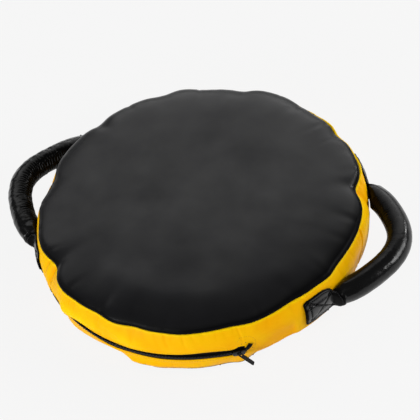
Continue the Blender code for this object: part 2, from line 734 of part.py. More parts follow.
def sweep_tube(stations):
    """Bridge a row of ellipses along the handle; each station is angle, half thickness, half height."""
    bm = bmesh.new()
    loops = []
    for angle, half_thickness, half_height in stations:
        point, outward = arc_point(angle)
        along = Vector((-outward.y, outward.x, 0.0))
        frame = Matrix((
            (outward.x * half_thickness, 0.0, along.x, point.x),
            (outward.y * half_thickness, 0.0, along.y, point.y),
            (0.0, half_height, 0.0, point.z),
            (0.0, 0.0, 0.0, 1.0),
        ))
        ring = bmesh.ops.create_circle(bm, cap_ends=False, radius=1.0, segments=HANDLE_SIDES, matrix=frame)
        loops.append(list({edge for vert in ring["verts"] for edge in vert.link_edges}))
    for first, second in zip(loops, loops[1:]):
        bmesh.ops.bridge_loops(bm, edges=first + second)
    return bm


def sleeve_section(angle):
    """Half thickness and half height of the sleeve: round along the grip, pinched flat at its ends."""
    grip = GRIP_DIAMETER / 2.0
    flat = ease((abs(angle) - SLEEVE_ROUND_ANGLE) / (SLEEVE_END_ANGLE - SLEEVE_ROUND_ANGLE))
    return (
        grip + (SLEEVE_END_THICKNESS / 2.0 - grip) * flat,
        grip + (SLEEVE_END_HEIGHT / 2.0 - grip) * flat,
    )


def handle_angles(steps):
    """Angles of a handle's stations, on the sleeve's own spacing either side of the middle."""
    spacing = 2.0 * SLEEVE_END_ANGLE / SLEEVE_STEPS
    return [spacing * (step - steps / 2.0) for step in range(steps + 1)]


def sleeve_mesh():
    """Open leather tube of one handle."""
    bm = sweep_tube([(angle, *sleeve_section(angle)) for angle in handle_angles(SLEEVE_STEPS)])
    centre = handle_arc()[0] - hinge_radius()

    def away(point):
        return point - arc_point(math.degrees(math.atan2(point.y, point.x - centre)))[0]

    face_out(bm, away)
    return bm


def padding_mesh():
    """Foam roll inside the sleeve, before its bore."""
    inset = LEATHER + PADDING_FIT
    stations = []
    for angle in handle_angles(PADDING_STEPS):
        half_thickness, half_height = sleeve_section(angle)
        stations.append((angle, half_thickness - inset, half_height - inset))
    return close_ends(sweep_tube(stations))


def bore_mesh():
    """Flat bore through the padding, longer than the roll at both ends."""
    half_thickness = WEBBING_THICKNESS / 2.0 + WEBBING_FIT * 1.8
    half_height = WEBBING_WIDTH / 2.0 + WEBBING_FIT * 2.2
    angles = handle_angles(PADDING_STEPS + 1)
    return close_ends(sweep_tube([(angle, half_thickness, half_height) for angle in angles]))


def close_ends(bm):
    """Fill the two open ends of a swept tube."""
    bmesh.ops.holes_fill(bm, edges=bm.edges, sides=HANDLE_SIDES)
    bmesh.ops.recalc_face_normals(bm, faces=bm.faces)
    return bm


def strap_mesh(points, width):
    """Flat strap on edge: an upright edge extruded through points."""
    bm = bmesh.new()
    low = bm.verts.new(points[0] - Vector((0.0, 0.0, width / 2.0)))
    high = bm.verts.new(points[0] + Vector((0.0, 0.0, width / 2.0)))
    edge = bm.edges.new((low, high))
    for point in points[1:]:
        grown = bmesh.ops.extrude_edge_only(bm, edges=[edge])
        moved = [item for item in grown["geom"] if isinstance(item, bmesh.types.BMVert)]
        step = point - (edge.verts[0].co + edge.verts[1].co) / 2.0
        bmesh.ops.translate(bm, vec=step, verts=moved)
        edge = next(item for item in grown["geom"] if isinstance(item, bmesh.types.BMEdge) and all(
            vert in moved for vert in item.verts))
    bmesh.ops.recalc_face_normals(bm, faces=bm.faces)
    return bm


def webbing_points():
    """Centre line of the webbing inside the padding."""
    return [arc_point(-WEBBING_END_ANGLE + 2.0 * WEBBING_END_ANGLE * step / 14.0)[0] for step in range(15)]


def make_handle(side, mirror_x, turn):
    """Sleeve, padding and webbing of one handle on its hinge."""
    angle = turn if mirror_x > 0.0 else 180.0 + turn
    hinge = add_empty(side + "_handle_hinge", polar(hinge_radius(), angle, HANDLE_HEIGHT), angle)
    name = side + "_handle_sleeve"
    sleeve = add_object(name, sleeve_mesh(), finish(name, BLACK_GRIP, 0.38), hinge, 60.0)
    thicken(sleeve, LEATHER, -1.0)
    name = side + "_handle_padding"
    padding = add_object(name, padding_mesh(), finish(name, PADDING_GREY, 0.9), hinge, 60.0)
    bore = add_object("bore_tool", bore_mesh(), padding.data.materials[0], hinge)
    combine(padding, bore, "DIFFERENCE")
    name = side + "_handle_webbing"
    strap = strap_mesh(webbing_points(), WEBBING_WIDTH)
    webbing = add_object(name, strap, finish(name, WEBBING_BLACK, 0.8), hinge)
    thicken(webbing, WEBBING_THICKNESS, 0.0)


def tab_height(angle):
    """Height of the tab's middle, which climbs from its neck to its far end."""
    return HANDLE_HEIGHT + TAB_RISE * max(0.0, (angle - TAB_START) / (TAB_END - TAB_START))


def tail_points():
    """Webbing tail at a rear right tab: along the wall, then out into the sleeve's end."""
    radius = wall_radius(HANDLE_HEIGHT) + TAB_SEAT + WEBBING_THICKNESS / 2.0
    on_wall = []
    for step in range(6):
        angle = TAB_END - 2.0 - (TAB_END - 2.0 - TAB_START + 1.0) * step / 5.0
        on_wall.append(polar(radius, angle, tab_height(angle)))
    shift = polar(hinge_radius(), 0.0, HANDLE_HEIGHT)
    entry, outward = arc_point(SLEEVE_END_ANGLE + 2.0)
    entry = entry + shift
    heading = Vector((outward.y, -outward.x, 0.0))
    leave = on_wall[-1]
    wall_heading = Vector((leave.y, -leave.x, 0.0)).normalized()
    gap = (entry - leave).length
    bend = []
    for step in (1, 2, 3):
        share = step / 4.0
        first = leave + wall_heading * gap * share * 0.6
        second = entry - heading * gap * (1.0 - share) * 0.6
        bend.append(first.lerp(second, share))
    inside = arc_point(TAIL_INSIDE_ANGLE)[0] + shift
    return on_wall + bend + [entry, inside]


def tab_rows():
    """Rows across the tab as share of its half height, each with its share of the webbing's lift."""
    over_webbing = (TAIL_WIDTH / 2.0 + WEBBING_FIT) / (TAB_NECK_HEIGHT / 2.0)
    sewn_down = (1.0 + over_webbing) / 2.0
    half = ((0.0, 1.0), (over_webbing, 1.0), (sewn_down, 0.0), (1.0, 0.0))
    return [(-across, lift) for across, lift in half[:0:-1]] + list(half)


def make_tab(name, mirror_x, mirror_y, turn):
    """Leather tail of a sleeve, laid over the webbing on the side wall."""
    columns = 5
    lift = WEBBING_THICKNESS + SEAM_GAP * 2.0
    grid = []
    bm = bmesh.new()
    for column in range(columns + 1):
        share = column / columns
        half_height = (TAB_NECK_HEIGHT + (TAB_FAR_HEIGHT - TAB_NECK_HEIGHT) * share) / 2.0
        line = []
        for across, over in tab_rows():
            angle = TAB_START + (TAB_END - TAB_START) * share
            height = tab_height(angle) + across * (TAB_NECK_HEIGHT / 2.0 if over else half_height)
            if abs(across) == 1.0 and column == columns:
                angle -= math.degrees(TAB_CORNER / TOP_SEAM_RADIUS)
            point = polar(wall_radius(height) + TAB_SEAT + lift * over, angle, height)
            line.append(bm.verts.new(gathered(mirrored(point, mirror_x, mirror_y, turn))))
        grid.append(line)
    for first, second in zip(grid, grid[1:]):
        for index in range(len(first) - 1):
            bm.faces.new((first[index], first[index + 1], second[index + 1], second[index]))
    face_out(bm, radial)
    tab = add_object(name, bm, finish(name, TAB_GREY, 0.45))
    thicken(tab, LEATHER, 1.0)


def mirrored(point, mirror_x, mirror_y, turn):
    """Carry a point of the rear right corner to another corner, turned with its handle."""
    corner = Vector((point.x * mirror_x, point.y * mirror_y, point.z))
    return Matrix.Rotation(math.radians(turn), 4, "Z") @ corner


def make_tail(name, mirror_x, mirror_y, turn):
    """Webbing end that the tab is sewn over."""
    points = [mirrored(point, mirror_x, mirror_y, turn) for point in tail_points()]
    strap = strap_mesh(points, TAIL_WIDTH)
    for vert in strap.verts:
        level = mirrored(vert.co, 1.0, 1.0, -turn)
        if math.degrees(math.asin(abs(level.y) / math.hypot(level.x, level.y))) > TAB_START - 1.5:
            vert.co += radial(vert.co) * (wall_radius(vert.co.z) - wall_radius(HANDLE_HEIGHT))
    gather_all(strap)
    tail = add_object(name, strap, finish(name, WEBBING_BLACK, 0.8))
    thicken(tail, WEBBING_THICKNESS, 0.0)


def make_handles():
    """Both handles with their four sewn tails."""
    for side, mirror_x, turn in (("right", 1.0, RIGHT_HANDLE_TURN), ("left", -1.0, LEFT_HANDLE_TURN)):
        make_handle(side, mirror_x, turn)
        for end, mirror_y in (("front", -1.0), ("rear", 1.0)):
            make_tab(f"{side}_{end}_tab", mirror_x, mirror_y, turn)
            make_tail(f"{side}_{end}_webbing", mirror_x, mirror_y, turn)


def main():
    """Build the mitt."""
    clear_scene()
    layout = zip_layout()
    make_striking_panel()
    make_back_panel()
    make_side_wall()
    make_foam_core()
    make_zip_tapes()
    make_teeth_row("zip_teeth_upper", 1.0, layout)
    make_teeth_row("zip_teeth_lower", -1.0, layout)
    make_stops(layout)
    seat, pivot_height = make_slider(layout)
    make_pull_tab(seat, pivot_height)
    make_handles()
    bpy.context.view_layer.update()
    pull = bpy.data.objects["zip_pull_tab"].matrix_world
    print("slider travel in degrees", round(layout["slider_open"] - layout["slider"], 3))
    print("pull pivot", [round(value, 6) for value in pull.translation])
    print("pull axis", [round(value, 6) for value in pull.col[2].xyz])
    print("hinge radius", round(hinge_radius(), 6))


main()
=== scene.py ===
"""Looks of the round drum mitt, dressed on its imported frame.

Metres, +Z up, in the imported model's own frame: the origin is the middle of the back
panel's flat face, +X runs through the right handle and the zip is on the -Y side.
"""

from __future__ import annotations

import logging
import math
import random
from dataclasses import dataclass, field
from enum import Enum

import bmesh
import bpy
import numpy as np
from bmesh.types import BMEdge, BMesh, BMFace
from bpy.types import Material, Node
from bpy.types import NodeSocket as Socket
from bpy.types import Object
from mathutils import Matrix, Vector, noise

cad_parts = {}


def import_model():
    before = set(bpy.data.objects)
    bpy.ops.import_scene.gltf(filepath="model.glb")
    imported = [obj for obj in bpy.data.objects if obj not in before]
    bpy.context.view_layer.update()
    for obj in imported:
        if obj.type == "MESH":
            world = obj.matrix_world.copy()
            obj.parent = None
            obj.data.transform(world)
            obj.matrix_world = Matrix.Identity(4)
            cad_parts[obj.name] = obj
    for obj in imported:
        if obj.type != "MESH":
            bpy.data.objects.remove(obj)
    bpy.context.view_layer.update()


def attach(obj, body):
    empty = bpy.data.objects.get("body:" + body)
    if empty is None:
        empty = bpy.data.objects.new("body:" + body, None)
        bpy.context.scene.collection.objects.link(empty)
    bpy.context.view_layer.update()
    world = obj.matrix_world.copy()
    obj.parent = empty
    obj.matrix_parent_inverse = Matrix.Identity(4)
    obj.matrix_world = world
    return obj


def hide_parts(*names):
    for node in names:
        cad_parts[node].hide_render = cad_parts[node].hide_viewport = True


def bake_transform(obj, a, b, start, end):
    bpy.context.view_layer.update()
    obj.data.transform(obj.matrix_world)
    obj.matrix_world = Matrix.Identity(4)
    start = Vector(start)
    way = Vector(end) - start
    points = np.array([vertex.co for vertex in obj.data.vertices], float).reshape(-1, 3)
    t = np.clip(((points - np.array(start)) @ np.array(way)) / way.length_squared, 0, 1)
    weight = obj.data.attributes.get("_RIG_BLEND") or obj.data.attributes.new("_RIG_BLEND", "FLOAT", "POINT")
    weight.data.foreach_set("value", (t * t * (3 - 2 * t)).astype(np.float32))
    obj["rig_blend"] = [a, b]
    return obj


LOG = logging.getLogger("drum_mitt")
WELD = 0.000002
MM_PER_METRE = 1000.0
WAVE_TURN = 6.2832
DEGREES = 57.3
QUARTER_TURN = math.pi / 2.0
FULL_TURN = 2.0 * math.pi
COVER_SHARP = 60.0

Feeds = dict[str | int, object]
Pair = tuple[float, float]
Path = list[Pair]
Place = tuple[float, float, float]

# The zip's two rows, and the way that each lies from its middle
ZIP_ROWS = (("upper", 1.0), ("lower", -1.0))


def linear(hex_colour: str) -> tuple[float, float, float, float]:
    """Turn an sRGB hex colour into linear red, green, blue and alpha."""
    channels = [int(hex_colour[i:i + 2], 16) / 255.0 for i in (1, 3, 5)]
    flat = [c / 12.92 if c <= 0.04045 else ((c + 0.055) / 1.055) ** 2.4 for c in channels]
    return (flat[0], flat[1], flat[2], 1.0)


def smooth_step(value: np.ndarray) -> np.ndarray:
    """Ease from 0 to 1."""
    kept = np.clip(value, 0.0, 1.0)
    return kept * kept * (3.0 - 2.0 * kept)


def ripple(points: np.ndarray, wavelength: float, seed: float) -> np.ndarray:
    """Smooth noise at each point.

    Args:
        points: places in metres, one row each.
        wavelength: size of the waves in metres.
        seed: shift that gives another pattern.

    Returns:
        One value from about -1 to 1 for each point.
    """
    shift = Vector((seed, seed * 0.7, -seed))
    return np.array([noise.noise(Vector(point) / wavelength + shift) for point in points])


def polar(radius: float, angle: float, height: float) -> Vector:
    """Point at a polar angle in degrees."""
    turn = math.radians(angle)
    return Vector((radius * math.cos(turn), radius * math.sin(turn), height))


def angle_gap(angle: np.ndarray, middle: float) -> np.ndarray:
    """Signed degrees from a middle angle, wrapped."""
    return (angle - middle + 180.0) % 360.0 - 180.0


def bell(value: np.ndarray, half_width: float | np.ndarray, middle: float = 0.0) -> np.ndarray:
    """Bell curve, 1 at its middle and about a third at its half width."""
    return np.exp(-((value - middle) / half_width) ** 2)


def ring_places(places: np.ndarray) -> tuple[np.ndarray, np.ndarray]:
    """Radius in metres and polar angle in degrees of places, one row each."""
    radius = np.hypot(places[:, 0], places[:, 1])
    return radius, np.degrees(np.arctan2(places[:, 1], places[:, 0]))


class Shading:
    """A material in the making, on its Principled shader."""

    def __init__(self, name: str) -> None:
        """Start the material."""
        self.material = bpy.data.materials.new(name)
        self.material.use_nodes = True
        self.tree = self.material.node_tree
        self.shader = self.tree.nodes["Principled BSDF"]

    def connect(self, node: Node, feeds: Feeds) -> None:
        """Give a node's inputs their values, or link the sockets that feed them."""
        for key, value in feeds.items():
            if isinstance(value, Socket):
                self.tree.links.new(value, node.inputs[key])
            else:
                node.inputs[key].default_value = value

    def add(self, kind: str, output: str | int, feeds: Feeds | None = None, **settings: object) -> Socket:
        """Add one shader node.

        Args:
            kind: Blender's name for the node, after ShaderNode.
            output: name or number of the output that is wanted.
            feeds: input name or number to a value, or to the socket that feeds it.
            settings: attributes of the node itself.

        Returns:
            The wanted output.
        """
        node = self.tree.nodes.new("ShaderNode" + kind)
        for name, value in settings.items():
            setattr(node, name, value)
        self.connect(node, feeds or {})
        return node.outputs[output]

    def object_place(self) -> Socket:
        """Place on the object, in metres."""
        return self.add("TexCoord", "Object")

    def combine(self, operation: str, first: Socket | float, second: Socket | float) -> Socket:
        """Combine two values."""
        return self.add("Math", 0, {0: first, 1: second}, operation=operation)

    def ranged(self, value: Socket, source: Pair, target: Pair = (0.0, 1.0)) -> Socket:
        """Map a value from one range to another."""
        return self.add("MapRange", "Result", {
            "Value": value, "From Min": source[0], "From Max": source[1],
            "To Min": target[0], "To Max": target[1],
        })

    def tinted(self, share: Socket, low: str, high: str) -> Socket:
        """Colour between two hex colours."""
        return self.add("Mix", 2, {"Factor": share, 6: linear(low), 7: linear(high)}, data_type="RGBA")

    def bump(self, height: Socket, strength: float, depth: float, under: Socket | None = None) -> Socket:
        """Surface direction over a relief some metres deep, which may lie over another one."""
        feeds: Feeds = {"Height": height, "Strength": strength, "Distance": depth}
        if under is not None:
            feeds["Normal"] = under
        return self.add("Bump", "Normal", feeds)

    def finish(self, colour: Socket, normal: Socket | None, feeds: Feeds) -> Material:
        """Give the shader its colour, its relief and what else it needs."""
        self.connect(self.shader, {"Base Color": colour, **feeds})
        if normal is not None:
            self.connect(self.shader, {"Normal": normal})
        return self.material


@dataclass(frozen=True)
class Leatherette:
    """Polyurethane-coated fabric, embossed with a fine pebble grain.

    The coating gives a soft, wide sheen; the grain breaks it into small specks, and a
    slow unevenness of the foamed backing shows as cloudy light and dark patches. The
    piece's relief attribute paints light into its colour: paler where it is high (painted
    highlight) and darker where it is low (painted shade); far below zero its sheen is also
    cut, as painted shade.
    """

    name: str
    colour: str
    high_colour: str
    roughness: float
    grain_mm: float = 1.5
    grain_depth_mm: float = 0.05
    cloud_mm: float = 70.0
    cloud_roughness: float = 0.08
    cloud_range: Pair = (0.3, 0.7)
    tint_range: Pair = (0.25, 0.95)
    wrinkle_mm: float = 9.0
    wrinkle_depth_mm: float = 0.0
    specular: float = 0.5
    cloud_specular: float = 0.0
    painted_shade_range: Pair = (-1.5, -0.2)
    painted_shade_least_gloss: float = 0.05

    def material(self) -> Material:
        """Build the leatherette's material."""
        made = Shading(self.name)
        place = made.object_place()
        cloud = made.add("TexNoise", "Fac", {
            "Vector": place, "Scale": MM_PER_METRE / self.cloud_mm, "Detail": 3.0, "Roughness": 0.55,
        })
        relief = made.add("Attribute", "Fac", attribute_name="relief")
        # The tint mixes a random cloudy tone with the relief attribute, which carries painted highlight and
        # painted shade
        tint = made.ranged(made.combine("ADD", relief, cloud), self.tint_range)
        rough = (self.roughness - self.cloud_roughness, self.roughness + self.cloud_roughness)
        pebble = made.add("TexVoronoi", "Distance", {
            "Vector": place, "Scale": MM_PER_METRE / self.grain_mm, "Randomness": 0.9,
        }, feature="SMOOTH_F1")
        normal = made.bump(pebble, 0.5, self.grain_depth_mm / MM_PER_METRE)
        if self.wrinkle_depth_mm > 0.0:
            wrinkle = made.add("TexNoise", "Fac", {
                "Vector": place, "Scale": MM_PER_METRE / self.wrinkle_mm, "Detail": 4.0, "Distortion": 0.6,
            })
            normal = made.bump(wrinkle, 0.7, self.wrinkle_depth_mm / MM_PER_METRE, normal)
        gloss = (self.specular + self.cloud_specular, self.specular - self.cloud_specular)
        # Painted shade: the sheen is cut where the relief attribute is far below zero
        gloss_after_painted_shade = made.ranged(relief, self.painted_shade_range, (self.painted_shade_least_gloss, 1.0))
        return made.finish(made.tinted(tint, self.colour, self.high_colour), normal, {
            "Roughness": made.ranged(cloud, self.cloud_range, rough),
            "Specular IOR Level": made.combine(
                "MULTIPLY", made.ranged(cloud, self.cloud_range, gloss), gloss_after_painted_shade,
            ),
        })


@dataclass(frozen=True)
class WovenTape:
    """Polyester yarn woven into tape: ribs across the run that catch light one by one."""

    name: str
    colour: str
    high_colour: str
    rib_mm: float
    rib_depth_mm: float
    roughness: float = 0.8
    yarns_per_rib: float = 1.6
    specular: float = 0.08

    def material(self) -> Material:
        """Build the woven material on the piece's own UV map, in metres."""
        made = Shading(self.name)
        place = made.add("UVMap", "UV", uv_map="UVMap")
        ribs = made.add("TexWave", "Fac", {
            "Vector": place, "Scale": MM_PER_METRE / self.rib_mm / WAVE_TURN, "Distortion": 0.4,
        }, wave_type="BANDS", bands_direction="X")
        yarn = made.add("TexWave", "Fac", {
            "Vector": place, "Scale": self.yarns_per_rib * MM_PER_METRE / self.rib_mm / WAVE_TURN,
            "Distortion": 0.3,
        }, wave_type="BANDS", bands_direction="Y")
        weave = made.combine("MULTIPLY", ribs, yarn)
        normal = made.bump(weave, 0.8, self.rib_depth_mm / MM_PER_METRE)
        return made.finish(made.tinted(weave, self.colour, self.high_colour), normal, {
            "Roughness": self.roughness, "Specular IOR Level": self.specular,
        })


@dataclass(frozen=True)
class Foam:
    """Polymer foam: matt, with round cells that pit the cut skin."""

    name: str
    colour: str
    cell_colour: str
    cell_mm: float
    cell_per_pit: float = 3.0
    roughness: float = 0.9

    def material(self) -> Material:
        """Build the foam's material."""
        made = Shading(self.name)
        cells = made.add("TexVoronoi", "Distance", {
            "Vector": made.object_place(), "Scale": MM_PER_METRE / self.cell_mm,
        })
        normal = made.bump(cells, 0.6, self.cell_mm / (self.cell_per_pit * MM_PER_METRE))
        return made.finish(made.tinted(cells, self.cell_colour, self.colour), normal, {
            "Roughness": self.roughness,
        })


@dataclass(frozen=True)
class HardFinish:
    """Moulded plastic or lacquered zinc: a smooth skin with faint flow marks and rubbed patches."""

    name: str
    colour: str
    rubbed_colour: str
    roughness: float
    mark_mm: float = 3.0
    mark_depth_mm: float = 0.1
    smoother: float = 0.08
    rougher: float = 0.1
    rubbed_range: Pair = (0.5, 0.8)
    rubbed_most: float = 0.6
    specular: float = 0.3

    def material(self) -> Material:
        """Build the moulded or lacquered material."""
        made = Shading(self.name)
        marks = made.add("TexNoise", "Fac", {
            "Vector": made.object_place(), "Scale": MM_PER_METRE / self.mark_mm, "Detail": 4.0,
        })
        rubbed = made.ranged(marks, self.rubbed_range, (0.0, self.rubbed_most))
        rough = (self.roughness - self.smoother, self.roughness + self.rougher)
        normal = made.bump(marks, 0.2, self.mark_depth_mm / MM_PER_METRE)
        return made.finish(made.tinted(rubbed, self.colour, self.rubbed_colour), normal, {
            "Roughness": made.ranged(marks, (0.0, 1.0), rough), "Specular IOR Level": self.specular,
        })


@dataclass(frozen=True)
class Thread:
    """Twisted bonded nylon thread: slim, slightly shiny, with slanting ply lines."""

    name: str
    colour: str
    ply_colour: str
    ply_mm: float = 0.6
    roughness: float = 0.55

    def material(self) -> Material:
        """Build the thread's material."""
        made = Shading(self.name)
        plies = made.add("TexWave", "Fac", {
            "Vector": made.object_place(), "Scale": MM_PER_METRE / self.ply_mm / WAVE_TURN,
        }, wave_type="BANDS", bands_direction="DIAGONAL")
        return made.finish(made.tinted(plies, self.ply_colour, self.colour), None, {
            "Roughness": self.roughness,
        })


# Matt black coated fabric of the striking face: the light slides over it in soft clouds
BLACK_FACE = Leatherette(
    "leatherette_black_embossed", "#0C0C0D", "#17171A", 0.33, cloud_roughness=0.05, specular=0.36,
    cloud_specular=0.07,
)
# The same fabric on the back, which shows rubbed
BLACK_BACK = Leatherette("leatherette_black_back", "#1B1B1C", "#2E2E30", 0.56, specular=0.4)
# Warm yellow coated fabric of the wall: paler on raised folds and along the top seam's roll (painted
# highlight), darker in creases (painted shade)
YELLOW_WALL = Leatherette(
    "leatherette_yellow_embossed", "#FFB400", "#FFD004", 0.46, cloud_mm=45.0, specular=0.05,
)
# Softer, glossier black fabric of the handles, creased by the hand; its sewn tabs get a painted sheen, and
# its stitch grooves, wall side and blunt ends get painted shade
BLACK_HANDLE = Leatherette(
    "leatherette_black_handle", "#080808", "#111113", 0.24, grain_mm=1.2, cloud_mm=25.0,
    cloud_roughness=0.06, wrinkle_mm=5.0, wrinkle_depth_mm=0.28, specular=0.44, cloud_specular=0.08,
)
ZIP_TAPE = WovenTape("polyester_tape_woven", "#050506", "#0C0C0E", 0.9, 0.12)
WEBBING = WovenTape("polypropylene_webbing_woven", "#131314", "#2C2C2E", 1.4, 0.3, 0.7)
ZIP_TEETH = HardFinish("acetal_teeth_moulded", "#050506", "#0D0D0F", 0.34, specular=0.12)
ZIP_METAL = HardFinish("zinc_black_lacquered", "#050506", "#0E0E10", 0.22, specular=0.18)
FIRM_FOAM = Foam("polyethylene_foam_closed_cell", "#4A4B4E", "#333437", 1.2)
SOFT_FOAM = Foam("polyurethane_foam_open_cell", "#D9D2BC", "#B2A98D", 1.8)
ROLL_FOAM = Foam("rubber_foam_roll", "#5A5A5C", "#3E3E40", 1.0)
BLACK_THREAD = Thread("nylon_thread_black", "#3A3A3D", "#1B1B1D")
YELLOW_THREAD = Thread("nylon_thread_yellow", "#E9A90C", "#B9820A")


def store(name: str, bm: BMesh, material: Material, sharp: float = 40.0) -> Object:
    """Keep a bmesh as one object at the origin.

    Args:
        name: the piece's name.
        bm: its mesh, freed here.
        material: its finish.
        sharp: angle in degrees past which an edge stays sharp.

    Returns:
        The new object.
    """
    mesh = bpy.data.meshes.new(name)
    bm.to_mesh(mesh)
    bm.free()
    mesh.shade_smooth()
    mesh.set_sharp_from_angle(angle=math.radians(sharp))
    mesh.materials.append(material)
    piece = bpy.data.objects.new(name, mesh)
    bpy.context.scene.collection.objects.link(piece)
    return piece


def settle(piece: Object, body: str, slot: str, *nodes: str) -> None:
    """Let a finished piece ride on a body and stand for its CAD nodes."""
    if "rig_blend" not in piece:
        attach(piece, body)
    if nodes:
        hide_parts(*nodes)
    LOG.info("%s rides on %s, %d faces", piece.name, body, len(piece.data.polygons))


def wall_up(piece: Object, thickness: float, offset: float = -1.0) -> None:
    """Give an open sheet its thickness, inwards unless the offset says otherwise."""
    wall = piece.modifiers.new("wall", "SOLIDIFY")
    wall.thickness = thickness
    wall.offset = offset
    wall.use_rim = True


def merged_copy(node: str) -> BMesh:
    """Copy a CAD node's mesh with its loose triangles merged."""
    bm = bmesh.new()
    bm.from_mesh(bpy.data.objects[node].data)
    bmesh.ops.remove_doubles(bm, verts=bm.verts, dist=WELD)
    bmesh.ops.recalc_face_normals(bm, faces=bm.faces)
    bmesh.ops.dissolve_limit(
        bm, angle_limit=math.radians(1.0), verts=bm.verts[:], edges=bm.edges[:],
    )
    return bm


def vertex_places(bm: BMesh) -> np.ndarray:
    """Vertex places as an array, one row each."""
    return np.array([vert.co[:] for vert in bm.verts])


def move_vertices(bm: BMesh, places: np.ndarray) -> None:
    """Put every vertex at its row of places."""
    for vert, place in zip(bm.verts, places):
        vert.co = place


def vertex_normals(bm: BMesh) -> np.ndarray:
    """Vertex normals as an array, one row each."""
    bm.normal_update()
    return np.array([vert.normal[:] for vert in bm.verts])


def raised_places(bm: BMesh, relief: np.ndarray) -> np.ndarray:
    """Vertex places moved along their normals by a relief in metres."""
    return vertex_places(bm) + vertex_normals(bm) * relief[:, None]


def sharp_edges(bm: BMesh, turn: float) -> list[BMEdge]:
    """Edges between two faces that turn by more than an angle in radians."""
    return [edge for edge in bm.edges if edge.is_manifold and edge.calc_face_angle() > turn]


def soften(bm: BMesh, edges: list[BMEdge], width: float, segments: int, clamp: bool = False) -> None:
    """Round edges off over a width in metres."""
    bmesh.ops.bevel(
        bm, geom=edges, offset=width, segments=segments, affect="EDGES", profile=0.5, material=-1,
        clamp_overlap=clamp,
    )


def soft_box(corner: Place, size: Place, width: float, segments: int) -> BMesh:
    """Box with rounded edges, from one corner and its signed size."""
    bm = bmesh.new()
    bmesh.ops.create_cube(bm, size=1.0)
    for vert in bm.verts:
        vert.co = [low + (part + 0.5) * span for low, part, span in zip(corner, vert.co, size)]
    bmesh.ops.recalc_face_normals(bm, faces=bm.faces)
    soften(bm, bm.edges[:], width, segments)
    return bm


def face_towards(bm: BMesh, outwards: Vector | None = None) -> None:
    """Turn an open sheet to face along a direction, or away from the Z axis."""
    bmesh.ops.recalc_face_normals(bm, faces=bm.faces)
    score = 0.0
    for face in bm.faces:
        centre = face.calc_center_median()
        way = outwards or Vector((centre.x, centre.y, 0.0))
        score += face.normal.dot(way) * face.calc_area()
    if score < 0.0:
        bmesh.ops.reverse_faces(bm, faces=bm.faces)


def spin_profile(profile: Path, start: float, sweep: float, steps: int) -> BMesh:
    """Turn an open profile about the Z axis.

    Args:
        profile: radius and height of each point.
        start: first polar angle in degrees.
        sweep: degrees to turn.
        steps: number of steps.

    Returns:
        The turned sheet.
    """
    bm = bmesh.new()
    verts = [bm.verts.new(polar(radius, start, height)) for radius, height in profile]
    edges = [bm.edges.new(pair) for pair in zip(verts, verts[1:])]
    bmesh.ops.spin(
        bm, geom=verts + edges, cent=(0, 0, 0), axis=(0, 0, 1), dvec=(0, 0, 0),
        angle=math.radians(sweep), steps=steps, use_merge=abs(sweep) >= 360.0, use_duplicate=False,
    )
    bmesh.ops.remove_doubles(bm, verts=bm.verts, dist=WELD)
    return bm


def keep_relief(piece: Object, relief: np.ndarray) -> None:
    """Store a value for the material's colour and gloss: how far each vertex stands proud or sunk, with any
    painted highlight and painted shade added to it.
    """
    layer = piece.data.attributes.new("relief", "FLOAT", "POINT")
    layer.data.foreach_set("value", relief.astype(np.float32))


@dataclass(frozen=True)
class Gather:
    """A place where the seams are drawn in, or puff out where the depth is negative."""

    angle: float
    depth: float
    half_width: float


def drawn_depth(places: tuple[Gather, ...], angle: np.ndarray) -> np.ndarray:
    """Depth in metres of a row of gathers at polar angles in degrees."""
    depth = np.zeros_like(angle)
    for gather in places:
        depth += gather.depth * bell(angle_gap(angle, gather.angle), gather.half_width)
    return depth


@dataclass(frozen=True)
class Creases:
    """Small creases that the sewing leaves beside a seam."""

    seed: int
    spacing: Pair
    depth: Pair
    half_width: Pair
    length: Pair
    lean: float = 0.2

    def relief(self, along: np.ndarray, away: np.ndarray, run: float) -> np.ndarray:
        """Height of the creases.

        Args:
            along: metres along the closed seam.
            away: metres away from it.
            run: the seam's whole length.

        Returns:
            Height in metres at each place, below zero in a crease.
        """
        pick = random.Random(self.seed)
        height = np.zeros_like(along)
        place = 0.0
        while place < run - self.spacing[0]:
            deep = pick.uniform(*self.depth) * pick.uniform(0.5, 1.0)
            half = pick.uniform(*self.half_width)
            reach = pick.uniform(*self.length)
            lean = pick.uniform(-self.lean, self.lean)
            gap = (along - place - lean * away + run / 2.0) % run - run / 2.0
            across = gap / (half * (1.0 + 0.9 * away / reach))
            height -= deep * (1.0 - 0.6 * across ** 2) * bell(across, 1.0) * bell(away, reach)
            place += pick.uniform(*self.spacing)
        return height


@dataclass(frozen=True)
class Fold:
    """One longer fold down the side wall."""

    angle: float
    depth: float
    half_width: float
    top: float
    bottom: float
    lean: float = 0.0

    def relief(self, angle: np.ndarray, height: np.ndarray, radius: float) -> np.ndarray:
        """Height of the fold in metres, below zero in its valley."""
        middle = self.angle + self.lean * (self.top - height) / radius * DEGREES
        across = np.radians(angle_gap(angle, 0.0) - middle) * radius
        across = (across + math.pi * radius) % (2.0 * math.pi * radius) - math.pi * radius
        share = across / self.half_width
        shape = (1.0 - 0.5 * share ** 2) * np.exp(-share ** 2 / 1.6)
        under_top = smooth_step((self.top + 0.004 - height) / 0.006)
        return -self.depth * shape * (under_top * smooth_step((height - self.bottom) / 0.014))


